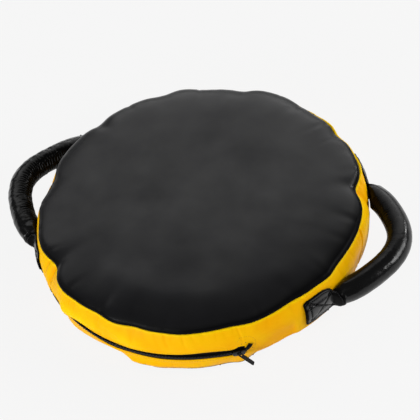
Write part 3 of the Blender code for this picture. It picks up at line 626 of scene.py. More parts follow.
@dataclass(frozen=True)
class MittForm:
    """Main sizes of the stuffed drum, and how its seams are drawn in."""

    top_radius: float = 0.225
    back_radius: float = 0.2205
    back_height: float = 0.0075
    wall_height: float = 0.0755
    wall_bulge: float = 0.009
    bulge_roundness: float = 2.6
    seam_roll: float = 0.0013
    crown_rise: float = 0.019
    crown_roundness: float = 4.4
    crown_softness: float = 0.41
    back_round: float = 0.024
    leather: float = 0.0014
    zip_height: float = 0.0395
    calm_band: float = 0.010
    gather_length: float = 0.060
    gather_ease: float = 1.5
    back_share: float = 0.5
    gathers: tuple[Gather, ...] = (
        Gather(-179.0, 0.0080, 6.0),
        Gather(-136.5, 0.0100, 6.5),
        Gather(-125.0, -0.0026, 5.0),
        Gather(-109.0, 0.0017, 4.5),
        Gather(-94.0, 0.0020, 4.0),
        Gather(-62.0, 0.0016, 5.0),
        Gather(-40.0, 0.0026, 5.5),
        Gather(-24.0, -0.0030, 4.0),
        Gather(16.0, 0.0095, 5.5),
        Gather(58.0, 0.0040, 8.0),
        Gather(97.0, 0.0062, 8.5),
        Gather(124.0, 0.0030, 4.0),
        Gather(149.5, 0.0045, 4.0),
    )
    top_gathers: tuple[Gather, ...] = (
        Gather(-172.0, 0.0045, 4.5),
        Gather(-159.0, 0.0022, 5.0),
        Gather(-130.0, -0.0018, 2.6),
        Gather(-102.0, -0.0015, 4.0),
        Gather(-78.0, -0.0016, 5.0),
        Gather(-54.0, -0.0015, 5.0),
        Gather(-3.0, -0.0020, 11.0),
        Gather(45.0, 0.0060, 4.5),
        Gather(66.0, 0.0025, 5.0),
        Gather(90.0, 0.0055, 4.5),
        Gather(106.0, 0.0050, 5.5),
        Gather(120.0, 0.0030, 3.5),
    )
    foot_tucks: tuple[Gather, ...] = (
        Gather(-123.0, -0.0042, 10.0),
        Gather(-104.5, 0.0045, 3.6),
        Gather(-96.5, -0.0045, 3.6),
        Gather(-90.0, -0.0060, 7.0),
        Gather(-76.0, -0.0030, 8.0),
        Gather(-60.0, -0.0040, 3.0),
        Gather(-49.0, 0.0105, 6.5),
        Gather(-38.0, 0.0080, 6.0),
        Gather(-27.0, 0.0030, 6.0),
        Gather(-8.0, 0.0040, 9.0),
    )
    foot_top: float = 0.0245
    foot_height: float = 0.012

    @property
    def top_height(self) -> float:
        """Height of the top seam."""
        return self.back_height + self.wall_height

    def wall_radius(self, height: np.ndarray | float) -> np.ndarray | float:
        """Outer radius of the side wall before gathering."""
        share = (height - self.back_height) / self.wall_height
        base = self.back_radius + (self.top_radius - self.back_radius) * share
        return base + self.wall_bulge * (1.0 - abs(2.0 * share - 1.0) ** self.bulge_roundness)

    def crown_height(self, radius: float) -> float:
        """Height of the striking face at a radius."""
        share = min(1.0, radius / self.top_radius) ** self.crown_roundness
        return self.top_height + self.seam_roll + self.crown_rise * (1.0 - share) ** self.crown_softness

    def draw_in(self, places: np.ndarray) -> np.ndarray:
        """Move points of the turned form to their places on the gathered cover."""
        radius, angle = ring_places(places)
        height = places[:, 2]
        above = height > self.zip_height
        seam = np.where(above, self.top_height, self.back_height)
        reach = abs(seam - self.zip_height) - self.calm_band
        beside = (abs(height - self.zip_height) - self.calm_band) / reach
        side = np.clip(beside, 0.0, 1.0) ** self.gather_ease
        edge = np.clip(1.0 - (self.back_radius - radius) / self.gather_length, 0.0, 1.0) ** self.gather_ease
        drawn = drawn_depth(self.gathers, angle) * side * edge * np.where(above, 1.0, self.back_share)
        drawn += drawn_depth(self.top_gathers, angle) * side * edge * above
        foot = smooth_step((self.foot_top - height) / self.foot_height)
        drawn += drawn_depth(self.foot_tucks, angle) * foot * edge
        scale = 1.0 - drawn / np.maximum(radius, WELD)
        moved = places.copy()
        moved[:, :2] *= scale[:, None]
        return moved


def keep_cover(
    name: str, bm: BMesh, finish: Leatherette, relief: np.ndarray, slot: str, *nodes: str,
) -> None:
    """Keep one sheet of the cover: its finish, its tone from relief with painted highlight and painted
    shade, thickness and the nodes that it stands for.
    """
    piece = store(name, bm, finish.material(), COVER_SHARP)
    keep_relief(piece, relief)
    wall_up(piece, MittForm.leather)
    settle(piece, "drum", slot, *nodes)


@dataclass
class StrikingPanel:
    """Crowned black face: rolled into the seam, creased beside it, cloudy in the middle."""

    form: MittForm
    steps: int = 600
    rim_rows: int = 30
    inner_rows: int = 20
    inner_radius: float = 0.170
    rim_ease: float = 0.85
    groove: tuple[Pair, ...] = ((-0.0030, 0.0003), (-0.0010, 0.0004), (-0.0003, 0.0009))
    fold_share: float = 0.06
    fold_half: float = 0.0095
    fold_reach: float = 0.036
    crease_rise: float = 0.003
    crease_least: float = 0.15
    cloud_height: float = 0.0010
    cloud_waves: Pair = (0.085, 0.034)
    cloud_edge: float = 0.02
    ridge_height: float = 0.0011
    ridge_radius: float = 0.172
    ridge_half: float = 0.021
    ridge_angle: float = -98.0
    ridge_spread: float = 48.0
    # Painted shade along the top seam: its width, its extra width at the right front, and its strength
    painted_shade_width: float = 0.0034
    painted_shade_more: Gather = Gather(-14.0, 0.0080, 28.0)
    painted_shade_tone: float = 1.9
    relief_tone: float = 120.0
    creases: Creases = Creases(5, (0.026, 0.070), (0.0003, 0.0009), (0.0030, 0.0070), (0.012, 0.034))

    def profile(self) -> Path:
        """Profile from inside the seam's groove to the crown."""
        seam = self.form.top_height
        rim = self.form.top_radius
        points = [(rim + out, seam + up) for out, up in self.groove]
        power = 2.0 / self.form.crown_roundness
        end = math.degrees(math.acos((self.inner_radius / rim) ** (1.0 / power))) / 90.0
        end = end ** (1.0 / self.rim_ease)
        for row in range(self.rim_rows):
            turn = math.radians(90.0) * (end * row / self.rim_rows) ** self.rim_ease
            radius = rim * math.cos(turn) ** power
            points.append((radius, self.form.crown_height(radius)))
        for row in range(self.inner_rows + 1):
            radius = self.inner_radius * (1.0 - row / self.inner_rows)
            points.append((radius, self.form.crown_height(radius)))
        return points

    def relief(self, angle: np.ndarray, radius: np.ndarray, places: np.ndarray) -> np.ndarray:
        """Folds, creases and clouds of the face, in metres along its normal."""
        rim = self.form.top_radius
        away = rim - radius
        run = 2.0 * math.pi * rim
        small = self.creases.relief(np.radians(angle % 360.0) * rim, away, run)
        risen = smooth_step((places[:, 2] - self.form.top_height) / self.crease_rise)
        small *= risen * (1.0 - self.crease_least) + self.crease_least
        big = np.zeros_like(angle)
        for gather in self.form.gathers:
            across = np.radians(angle_gap(angle, gather.angle)) * radius / self.fold_half
            shape = (1.0 - 0.45 * across ** 2) * np.exp(-across ** 2 / 1.8)
            big -= gather.depth * self.fold_share * shape * bell(away, self.fold_reach)
        wide, narrow = self.cloud_waves
        clouds = self.cloud_height * (ripple(places, wide, 3.1) + 0.4 * ripple(places, narrow, 8.2))
        ridge = bell(radius, self.ridge_half, self.ridge_radius)
        ridge *= bell(angle_gap(angle, self.ridge_angle), self.ridge_spread)
        ridge *= 1.0 + 0.6 * ripple(places, 0.055, 12.4)
        return small + big + self.ridge_height * ridge + clouds * smooth_step(away / self.cloud_edge + 0.15)

    def build(self) -> None:
        """Turn, gather and crease the face; painted shade darkens it and cuts its sheen along the seam,
        widest at the right front.
        """
        bm = spin_profile(self.profile(), 0.0, 360.0, self.steps)
        face_towards(bm, Vector((0.0, 0.0, 1.0)))
        places = vertex_places(bm)
        radius, angle = ring_places(places)
        move_vertices(bm, self.form.draw_in(places))
        relief = self.relief(angle, radius, places)
        move_vertices(bm, raised_places(bm, relief))
        # Painted shade near the seam, and the relief scaled into the tone: paler on folds and ridges
        # (painted highlight), darker in creases (painted shade)
        width = self.painted_shade_width + drawn_depth((self.painted_shade_more,), angle)
        painted_shade_near_seam = bell(np.maximum(self.form.top_radius - radius, 0.0), width)
        keep_cover(
            "striking_panel_cover", bm, BLACK_FACE,
            relief * self.relief_tone - self.painted_shade_tone * painted_shade_near_seam, "black_panel", "striking_panel",
        )


@dataclass
class SideWall:
    """Yellow wall as one closed band, with the zip's mouth cut in it and folded under."""

    form: MittForm
    steps: int = 1080
    mouth_half: float = 0.0073
    mouth_shift: float = 0.0011
    closed_end: float = -58.4
    open_end: float = -137.5
    lip_lift: float = 0.0022
    lip_waves: tuple[Gather, ...] = (
        Gather(-131.0, 0.0012, 4.0),
        Gather(-116.0, 0.0040, 4.5),
        Gather(-104.0, -0.0022, 5.0),
        Gather(-87.0, -0.0018, 6.5),
        Gather(-71.0, 0.0016, 5.0),
        Gather(-62.5, -0.0012, 2.6),
    )
    hollows: tuple[Gather, ...] = (Gather(-43.0, 0.0034, 7.0), Gather(-6.0, 0.0030, 5.0))
    lip_puffs: tuple[Gather, ...] = (
        Gather(-150.0, 0.0026, 5.0),
        Gather(-123.5, 0.0052, 3.2),
        Gather(-118.0, 0.0034, 6.0),
        Gather(-104.0, -0.0010, 4.0),
        Gather(-95.0, 0.0020, 5.0),
    )
    standing_lips: tuple[Gather, ...] = (Gather(52.0, 0.0048, 15.0), Gather(28.0, 0.0030, 6.0))
    tab_middles: tuple[float, ...] = (30.5, 146.5, -30.5, -152.5)
    tab_half: float = 11.0
    tab_height: float = 0.051
    tab_rise: float = 0.031
    mouth_steps: tuple[float, ...] = (
        0.0, 0.0004, 0.0009, 0.0016, 0.0028, 0.0046, 0.0070, 0.0100, 0.0135, 0.0170, 0.0205, 0.0240,
    )
    tape_step: float = 0.0022
    back_steps: tuple[float, ...] = (0.0011, 0.0026, 0.0052)
    top_steps: tuple[float, ...] = (0.0014, 0.0024, 0.0046, 0.0078)
    back_groove: tuple[Pair, ...] = ((-0.0030, -0.0008), (-0.0009, -0.0009), (0.0004, -0.0002))
    top_groove: tuple[Pair, ...] = ((0.0003, -0.0006), (-0.0005, -0.0002), (-0.0036, -0.0001))
    calm_reach: float = 0.016
    calm_share: float = 0.25
    lip_band: float = 0.012
    lip_deepest: float = -0.0006
    waves: tuple[Pair, ...] = ((0.0008, 0.050), (0.00035, 0.019))
    wave_squeeze: float = 0.45
    hem_ridge: Place = (0.0006, 0.0014, 0.0022)
    hem_groove: Place = (0.0004, 0.0008, 0.0046)
    seam_ease: float = 0.0020
    hem_width: float = 0.0016
    hem_turn: float = 0.0012
    puff_height: float = 0.0565
    puff_half: float = 0.011
    hollow_height: float = 0.036
    hollow_half: float = 0.018
    lip_reach: float = 0.0050
    relief_tone: float = 150.0
    # Painted highlight along the top edge of the wall: its strength and half width
    painted_highlight_tone: float = 1.6
    painted_highlight_half: float = 0.0016
    top_creases: Creases = Creases(
        11, (0.007, 0.020), (0.0003, 0.0011), (0.0014, 0.0032), (0.008, 0.026), 0.35,
    )
    back_creases: Creases = Creases(
        23, (0.007, 0.018), (0.0003, 0.0010), (0.0014, 0.0030), (0.006, 0.018), 0.35,
    )
    folds: tuple[Fold, ...] = (
        Fold(-136.5, 0.0030, 0.0050, 0.083, 0.002, 0.05),
        Fold(-140.2, 0.0014, 0.0028, 0.083, 0.030, -0.1),
        Fold(-59.7, 0.0008, 0.0018, 0.083, 0.052, 0.15),
        Fold(-109.0, 0.0008, 0.0040, 0.083, 0.050, 0.2),
        Fold(-94.0, 0.0008, 0.0036, 0.083, 0.052, -0.2),
        Fold(-40.0, 0.0012, 0.0040, 0.083, 0.030, 0.3),
        Fold(16.0, 0.0026, 0.0050, 0.083, 0.010, -0.1),
        Fold(20.0, 0.0012, 0.0030, 0.083, 0.074, 0.0),
        Fold(58.0, 0.0014, 0.0050, 0.083, 0.030, 0.1),
        Fold(97.0, 0.0020, 0.0060, 0.083, 0.020, 0.0),
        Fold(124.0, 0.0012, 0.0036, 0.083, 0.030, 0.2),
        Fold(179.0, 0.0024, 0.0050, 0.083, 0.012, 0.1),
        Fold(-1.4, 0.0030, 0.0018, 0.084, -0.004, -0.22),
    )

    def profile(self) -> Path:
        """Profile from the back seam's groove to the top seam's groove."""
        low = self.form.back_height
        high = self.form.top_height
        middle = self.mouth_middle
        levels = {middle - self.mouth_half - step for step in self.mouth_steps}
        levels |= {middle + self.mouth_half + step for step in self.mouth_steps}
        levels |= {middle - self.tape_step, middle + self.tape_step}
        levels |= {low + step for step in self.back_steps} | {high - step for step in self.top_steps}
        start = [(self.form.back_radius + out, low + up) for out, up in self.back_groove]
        body = [(self.form.wall_radius(level), level) for level in sorted(levels)]
        end = [(self.form.top_radius + out, high + up) for out, up in self.top_groove]
        return start + body + end

    @property
    def mouth_middle(self) -> float:
        """Height of the middle of the mouth, whose upper lip stands further from the teeth."""
        return self.form.zip_height + self.mouth_shift

    def lifted(self, angle: np.ndarray, height: np.ndarray) -> np.ndarray:
        """How far the mouth's lips wander up, most where the tape's loose end comes out."""
        above = smooth_step((height - self.mouth_middle) / 0.005)
        share = bell(angle_gap(angle, self.closed_end - 1.6), 1.5)
        near = smooth_step((0.070 - height) / 0.020) * smooth_step((height - 0.020) / 0.012)
        waves = drawn_depth(self.lip_waves, angle) * (0.6 + 0.6 * above)
        return near * (self.lip_lift * share * above + waves)

    def mouth_gap(self, angle: np.ndarray, height: np.ndarray) -> np.ndarray:
        """Distance in metres outside the zip's mouth."""
        up = abs(height - self.mouth_middle) - self.mouth_half
        middle = (self.closed_end + self.open_end) / 2.0
        half = (self.closed_end - self.open_end) / 2.0
        side = np.radians(abs(angle_gap(angle, middle)) - half) * self.form.top_radius
        return np.hypot(np.maximum(up, 0.0), np.maximum(side, 0.0)) + np.minimum(np.maximum(up, side), 0.0)

    def under_tab(self, angle: np.ndarray, height: np.ndarray) -> np.ndarray:
        """1 where a handle's tab is sewn on, 0 elsewhere."""
        covered = np.zeros_like(angle)
        for middle in self.tab_middles:
            sideways = smooth_step((self.tab_half - abs(angle_gap(angle, middle))) / 2.5)
            covered = np.maximum(covered, sideways)
        return covered * smooth_step((self.tab_rise - abs(height - self.tab_height)) / 0.004)

    def relief(self, angle: np.ndarray, places: np.ndarray) -> np.ndarray:
        """Creases, folds and the hem of the mouth, in metres along the wall's normal."""
        height = places[:, 2]
        rim = self.form.top_radius
        run = 2.0 * math.pi * rim
        along = np.radians(angle % 360.0) * rim
        relief = self.top_creases.relief(along, self.form.top_height - height, run)
        relief += self.back_creases.relief(along, height - self.form.back_height, run)
        for fold in self.folds:
            relief += fold.relief(angle, height, rim)
        squeezed = places * np.array((1.0, 1.0, self.wave_squeeze))
        (long_rise, long_wave), (short_rise, short_wave) = self.waves
        waves = long_rise * ripple(squeezed, long_wave, 1.7)
        relief += waves + short_rise * ripple(squeezed, short_wave, 5.3)
        gap = self.mouth_gap(angle, height)
        calm = smooth_step(gap / self.calm_reach)
        relief = relief * (self.calm_share + (1.0 - self.calm_share) * calm)
        relief = np.where(gap < self.lip_band, np.maximum(relief, self.lip_deepest), relief)
        hem = np.clip(1.0 - gap / self.hem_width, 0.0, 1.0)
        relief -= self.hem_turn * (1.0 - np.sqrt(1.0 - hem ** 2))
        for sign, (rise, half, middle) in ((1.0, self.hem_ridge), (-1.0, self.hem_groove)):
            relief += sign * rise * bell(gap, half, middle)
        relief += drawn_depth(self.lip_puffs, angle) * bell(height, self.puff_half, self.puff_height)
        relief -= drawn_depth(self.hollows, angle) * bell(height, self.hollow_half, self.hollow_height)
        relief *= 1.0 - self.under_tab(angle, height)
        seam = np.minimum(self.form.top_height - height, height - self.form.back_height)
        return relief * smooth_step(seam / self.seam_ease + 0.12)

    def build(self) -> None:
        """Turn the band, cut the mouth, gather and crease it."""
        bm = spin_profile(self.profile(), self.closed_end, 360.0, self.steps)
        face_towards(bm)
        inside = []
        for face in bm.faces:
            centre = face.calc_center_median()
            turn = math.degrees(math.atan2(centre.y, centre.x))
            level = abs(centre.z - self.mouth_middle)
            if self.open_end < turn < self.closed_end and level < self.mouth_half:
                inside.append(face)
        bmesh.ops.delete(bm, geom=inside, context="FACES")
        places = vertex_places(bm)
        _, angle = ring_places(places)
        move_vertices(bm, self.form.draw_in(places))
        relief = self.relief(angle, places)
        moved = raised_places(bm, relief)
        moved[:, 2] += self.lifted(angle, places[:, 2])
        below = self.form.top_height - places[:, 2]
        ledge = drawn_depth(self.standing_lips, angle) * bell(below, self.lip_reach)
        moved[:, :2] *= (1.0 + ledge / self.form.top_radius)[:, None]
        move_vertices(bm, moved)
        # The relief, scaled, makes raised folds paler and creases darker (painted highlight and painted
        # shade), with a painted highlight along the top edge
        keep_cover(
            "side_wall_cover", bm, YELLOW_WALL,
            relief * self.relief_tone + self.painted_highlight_tone * bell(below, self.painted_highlight_half),
            "yellow_wall", "side_wall_plain", "side_wall_above_zip", "side_wall_below_zip",
        )

    def sew(self) -> None:
        """Stitch round the mouth in yellow, and hold the zip's closed end with dark stitches."""
        edge = self.mouth_half + 0.0030
        sewn = self.closed_end - 3.5 - self.open_end
        turns = [self.open_end + sewn * step / 320.0 for step in range(321)]
        self.seam("zip_topstitching", YELLOW_THREAD, 0.0034, 0.0005, 0.8, [
            [(turn, self.mouth_middle + side * edge) for turn in turns] for side in (-1.0, 1.0)
        ])
        self.seam("zip_end_stitching", YELLOW_THREAD, 0.0030, 0.0006, 0.6, [[
            (-60.6, 0.0590), (-59.7, 0.0655), (-57.7, 0.0665), (-55.4, 0.0620), (-54.7, 0.0550),
            (-54.8, 0.0440), (-55.6, 0.0360),
        ]])
        self.seam("zip_tape_stitching", BLACK_THREAD, 0.0050, 0.0011, 0.26, [
            [(-61.2, 0.0500), (-60.3, 0.0500), (-58.9, 0.0540), (-57.2, 0.0562)],
            [(-56.5, 0.0460), (-56.2, 0.0400)],
            [(-55.9, 0.0420), (-55.9, 0.0380)],
        ])

    def seam(
        self, name: str, thread: Thread, pitch: float, thick: float, shown: float,
        paths: list[Path],
    ) -> None:
        """Sew along paths on the wall, given as polar angle and height."""
        bm = bmesh.new()
        for path in paths:
            turns = np.array([turn for turn, _ in path])
            heights = np.array([height for _, height in path])
            fine = np.linspace(0.0, len(path) - 1.0, max(len(path), 80))
            angle = np.interp(fine, np.arange(len(path)), turns)
            height = np.interp(fine, np.arange(len(path)), heights)
            radius = self.form.wall_radius(height)
            turn = np.radians(angle)
            flat = np.stack((radius * np.cos(turn), radius * np.sin(turn), height), axis=1)
            places = self.form.draw_in(flat)
            normals = flat * np.array((1.0, 1.0, 0.0)) / radius[:, None]
            places += normals * (self.relief(angle, flat) + 0.0001)[:, None]
            places[:, 2] += self.lifted(angle, height)
            stitch_line(bm, [Vector(p) for p in places], [Vector(n) for n in normals], pitch, thick, shown)
        bmesh.ops.recalc_face_normals(bm, faces=bm.faces)
        piece = store(name, bm, thread.material(), COVER_SHARP)
        settle(piece, "drum", "yellow_wall")


@dataclass
class BackPanel:
    """Black back face, flat where the mitt rests."""

    form: MittForm
    steps: int = 480
    relief_tone: float = 120.0
    edge_rows: int = 14
    edge_rise: float = 0.0044
    edge_margin: float = 0.0012
    groove: tuple[Pair, ...] = ((-0.0018, 0.0047), (-0.0034, 0.0049))
    creases: Creases = Creases(37, (0.012, 0.030), (0.0002, 0.0005), (0.0020, 0.0040), (0.006, 0.016))

    def profile(self) -> Path:
        """Profile from the middle of the flat face to the back seam's groove."""
        flat = self.form.back_radius - self.form.back_round
        points = [(flat * step / 16.0, 0.0) for step in range(17)]
        for row in range(1, self.edge_rows + 1):
            turn = math.radians(90.0) * row / self.edge_rows
            out = (self.form.back_round - self.edge_margin) * math.sin(turn)
            points.append((flat + out, self.edge_rise * (out / self.form.back_round) ** 2))
        return points + [(self.form.back_radius + out, up) for out, up in self.groove]

    def build(self) -> None:
        """Turn and gather the back, crease its turned edge."""
        bm = spin_profile(self.profile(), 0.0, 360.0, self.steps)
        face_towards(bm, Vector((0.0, 0.0, -1.0)))
        places = vertex_places(bm)
        radius, angle = ring_places(places)
        move_vertices(bm, self.form.draw_in(places))
        rim = self.form.back_radius
        relief = self.creases.relief(np.radians(angle % 360.0) * rim, rim - radius, 2.0 * math.pi * rim)
        relief -= 0.0003 * (1.0 + ripple(places, 0.07, 4.4)) * smooth_step((rim - 0.03 - radius) / 0.03)
        moved = raised_places(bm, relief)
        moved[:, 2] = np.maximum(moved[:, 2], 0.0)
        move_vertices(bm, moved)
        # The relief, scaled, makes the creases darker, as painted shade
        keep_cover(
            "back_panel_cover", bm, BLACK_BACK, relief * self.relief_tone, "black_panel", "back_panel",
        )


@dataclass
class FoamCore:
    """Three foam discs inside the cover, with softened cut edges, clear of the cover's folds."""

    edge: float = 0.0012
    ease: float = 0.0026

    def build(self) -> None:
        """Make the firm back, soft middle and firm striking layers."""
        firm = FIRM_FOAM.material()
        self.layer("foam_back_layer", firm, "foam_firm")
        self.layer("foam_middle_layer", SOFT_FOAM.material(), "foam_soft")
        self.layer("foam_striking_layer", firm, "foam_firm")

    def layer(self, node: str, material: Material, slot: str) -> None:
        """Soften one layer's edges and let it stand for its node."""
        bm = merged_copy(node)
        soften(bm, sharp_edges(bm, 0.6), self.edge, 2, clamp=True)
        places = vertex_places(bm)
        radius, _ = ring_places(places)
        eased = self.ease * smooth_step((radius - 0.12) / 0.08)
        places[:, :2] *= (1.0 - eased / np.maximum(radius, 0.01))[:, None]
        move_vertices(bm, places)
        piece = store(node.replace("foam", "foam_disc"), bm, material, 50.0)
        settle(piece, "drum", slot, node)


def swept(stations: list[Matrix], segments: int) -> BMesh:
    """Bridge unit circles that matrices place along a path, and close both ends.

    Args:
        stations: matrix of each circle; its X and Y columns are the half sizes.
        segments: points of each circle.

    Returns:
        A closed tube.
    """
    bm = bmesh.new()
    loops = []
    for matrix in stations:
        ring = bmesh.ops.create_circle(bm, cap_ends=False, radius=1.0, segments=segments, matrix=matrix)
        loops.append(list({edge for vert in ring["verts"] for edge in vert.link_edges}))
    for first, second in zip(loops, loops[1:]):
        bmesh.ops.bridge_loops(bm, edges=first + second)
    bmesh.ops.holes_fill(bm, edges=bm.edges, sides=segments)
    bmesh.ops.recalc_face_normals(bm, faces=bm.faces)
    return bm


def add_mesh(bm: BMesh, part: BMesh, matrix: Matrix) -> None:
    """Add a part to a bmesh, placed by a matrix, and leave the part as it was."""
    mesh = bpy.data.meshes.new("part")
    part.to_mesh(mesh)
    mesh.transform(matrix)
    bm.from_mesh(mesh)
    bpy.data.meshes.remove(mesh)


def absorb(bm: BMesh, part: BMesh) -> None:
    """Add a part to a bmesh where it is, and free it."""
    add_mesh(bm, part, Matrix.Identity(4))
    part.free()


def stitch_line(
    bm: BMesh, places: list[Vector], normals: list[Vector], pitch: float, thread: float,
    shown: float = 0.80,
) -> None:
    """Lay stitches along a path.

    Args:
        bm: mesh that gets the stitches.
        places: close points along the path.
        normals: direction away from the cloth at each point.
        pitch: length of a stitch and its gap in metres.
        thread: thickness of the thread in metres.
        shown: share of the pitch that a stitch covers.
    """
    lengths = [0.0]
    for first, second in zip(places, places[1:]):
        lengths.append(lengths[-1] + (second - first).length)
    stitch = bmesh.new()
    bmesh.ops.create_icosphere(stitch, subdivisions=1, radius=1.0)
    count = max(1, int(lengths[-1] / pitch))
    half = pitch * shown / 2.0
    for number in range(count):
        middle = (number + 0.5) * lengths[-1] / count
        index = next(i for i in range(1, len(lengths)) if lengths[i] >= middle or i == len(lengths) - 1)
        share = (middle - lengths[index - 1]) / max(lengths[index] - lengths[index - 1], WELD)
        place = places[index - 1].lerp(places[index], share)
        along = (places[index] - places[index - 1]).normalized()
        up = normals[index]
        across = up.cross(along).normalized()
        up = along.cross(across).normalized()
        rows = [
            (along[axis] * half, across[axis] * thread * 0.5, up[axis] * thread * 0.5, place[axis])
            for axis in range(3)
        ]
        add_mesh(bm, stitch, Matrix((*rows, (0.0, 0.0, 0.0, 1.0))))
    stitch.free()


@dataclass
class Zip:
    """Moulded zip in the wall's mouth, with its slider near the closed end."""

    form: MittForm
    closed_end: float = -57.5
    open_end: float = -137.5
    tape_half: float = 0.0150
    tape_flat: float = 0.0065
    tape_thickness: float = 0.0007
    tape_gap: float = 0.0003
    loose_half: float = 0.0034
    ring: float = 0.23
    pitch: float = 0.0042
    tooth_width: float = 0.0017
    tooth_height: float = 0.0022
    tooth_reach: float = 0.0010
    tooth_edge: float = 0.0031
    stop_length: float = 0.0020
    stop_margin: float = 0.0016
    stop_low: float = 0.0004
    stop_thickness: float = 0.0021
    shield_gap: float = 0.0004
    shield_thickness: float = 0.0015
    shield_corner: float = 0.0034
    flange_thickness: float = 0.0011
    flange_share: float = 0.76
    bridge_half: float = 0.0022
    bridge_rise: float = 0.0021
    bridge_wire: float = 0.00065
    bridge_width: float = 0.0011
    pin_height: float = 0.00105
    slider_length: float = 0.0170
    slider_wide: float = 0.0112
    slider_narrow: float = 0.0096
    pull_length: float = 0.0240
    pull_width: float = 0.0066
    pull_thickness: float = 0.0015
    pull_eye: Pair = (0.0006, 0.0040)
    pull_eye_half: float = 0.0015
    pull_sunk: Pair = (0.0070, 0.0215)
    pull_sunk_half: float = 0.0023
    pull_sunk_depth: float = 0.00028
    pull_sunk_wall: float = 0.00025
    pull_edge: float = 0.0003
    pull_shares: Place = (0.94, 0.22, 0.08)
    pull_lean: float = -24.0
    pull_swing: float = 52.0

    def wall_radii(self) -> Pair:
        """Radius of the wall above and below the zip's flat part."""
        high, low = self.form.zip_height + self.tape_flat, self.form.zip_height - self.tape_flat
        return self.form.wall_radius(high), self.form.wall_radius(low)

    def lean(self) -> float:
        """Angle in radians by which the wall leans out across the zip."""
        high, low = self.wall_radii()
        return math.atan((high - low) / (2.0 * self.tape_flat))

    def track(self, above: float = 0.0) -> float:
        """Radius of the tapes' outer face, some way above the zip's middle."""
        high, low = self.wall_radii()
        return (high + low) / 2.0 - self.form.leather - self.tape_gap + math.tan(self.lean()) * above

    def degrees(self, length: float) -> float:
        """Turn a length along the zip into degrees."""
        return math.degrees(length / self.track())

    def seat(self, angle: float) -> Matrix:
        """Frame on the tapes' face: X outwards, Y along the zip, Z up."""
        turn = Matrix.Rotation(math.radians(angle), 4, "Z")
        place = Matrix.Translation((self.track(), 0.0, self.form.zip_height))
        return turn @ place @ Matrix.Rotation(self.lean(), 4, "Y")

    def stop_room(self) -> float:
        """Degrees that the stops take at each end of the teeth."""
        return self.degrees(self.stop_margin + self.stop_length + self.tape_gap)

    def teeth_start(self) -> float:
        """Polar angle where the teeth begin, beside the closed end's stops."""
        return self.closed_end - self.stop_room()

    @property
    def shield_low(self) -> float:
        """How far the front shield's inner face stands off the tapes."""
        return self.tape_gap + self.tooth_height + self.shield_gap

    @property
    def shield_high(self) -> float:
        """How far the front shield's outer face stands off the tapes."""
        return self.shield_low + self.shield_thickness

    def slider_angle(self) -> float:
        """Polar angle of the slider's middle."""
        return self.teeth_start() - self.degrees(self.slider_length / 2.0)

    def build(self) -> None:
        """Make every piece of the zip."""
        self.build_tapes()
        self.build_teeth()
        self.build_stops()
        self.build_slider()
        self.build_pull()
        self.build_tape_end()

    def build_tapes(self) -> None:
        """Weave the two tapes."""
        material = ZIP_TAPE.material()
        for name, side in ZIP_ROWS:
            profile = []
            for level in (0.0003, 0.0020, 0.0045, self.tape_flat, 0.0100, self.tape_half):
                height = self.form.zip_height + side * level
                radius = self.track(side * level)
                if level > self.tape_flat:
                    radius = self.form.wall_radius(height) - self.form.leather - self.tape_gap - 0.0008
                profile.append((radius, height))
            bm = spin_profile(profile, self.closed_end + 5.0, -90.0, 180)
            face_towards(bm)
            places = self.form.draw_in(vertex_places(bm))
            wave = 0.0002 * ripple(places, 0.02, 2.2 + side)
            away = np.clip(abs(places[:, 2] - self.form.zip_height) / 0.005, 0.0, 1.0)
            move_vertices(bm, places + vertex_normals(bm) * (wave * away)[:, None])
            piece = store("zip_tape_" + name + "_woven", bm, material)
            metre_map(piece, self.track())
            wall_up(piece, self.tape_thickness)
            settle(piece, "drum", "zip_tape", "zip_tape_" + name)

    def tooth(self) -> BMesh:
        """One moulded tooth: a broad root, a waist and a rounded head."""
        bm = bmesh.new()
        bmesh.ops.create_cube(bm, size=1.0)
        bmesh.ops.subdivide_edges(
            bm, edges=[edge for edge in bm.edges if abs(edge.verts[0].co.z - edge.verts[1].co.z) > 0.5],
            cuts=2, use_grid_fill=True,
        )
        low = self.tape_gap * 0.3
        for vert in bm.verts:
            row = round((vert.co.z + 0.5) * 3.0)
            width = (1.06, 0.80, 0.92, 1.0)[row] * self.tooth_width
            level = (-self.tooth_reach, 0.0001, 0.0013, self.tooth_edge)[row]
            vert.co = Vector((low + (vert.co.x + 0.5) * self.tooth_height, vert.co.y * width, level))
        soften(bm, sharp_edges(bm, 0.8), 0.00026, 1)
        return bm

    def build_teeth(self) -> None:
        """Set the two rows of teeth so that they mesh."""
        material = ZIP_TEETH.material()
        pitch = self.degrees(self.pitch)
        start = self.teeth_start()
        end = self.open_end + self.stop_room()
        count = int((start - end) / pitch) - 1
        template = self.tooth()
        for name, side in ZIP_ROWS:
            bm = bmesh.new()
            flip = Matrix.Diagonal((1.0, 1.0, side, 1.0))
            for number in range(count):
                angle = start - pitch * (number + (0.5 if side > 0 else 1.0))
                add_mesh(bm, template, self.seat(angle) @ flip)
            absorb(bm, self.rail(start, end, side))
            bmesh.ops.recalc_face_normals(bm, faces=bm.faces)
            piece = store("zip_teeth_" + name + "_moulded", bm, material, 30.0)
            settle(piece, "drum", "zip_teeth", "zip_teeth_" + name)
        template.free()

    def rail(self, start: float, end: float, side: float) -> BMesh:
        """Corded edge that the teeth are moulded on."""
        level = side * (self.tooth_edge - 0.0007)
        stations = []
        for step in range(161):
            angle = start + (end - start) * step / 160.0
            matrix = self.seat(angle) @ Matrix.Translation((0.0008, 0.0, level))
            stations.append(matrix @ Matrix.Rotation(math.radians(90.0), 4, "X") @ Matrix.Scale(0.0007, 4))
        return swept(stations, 8)

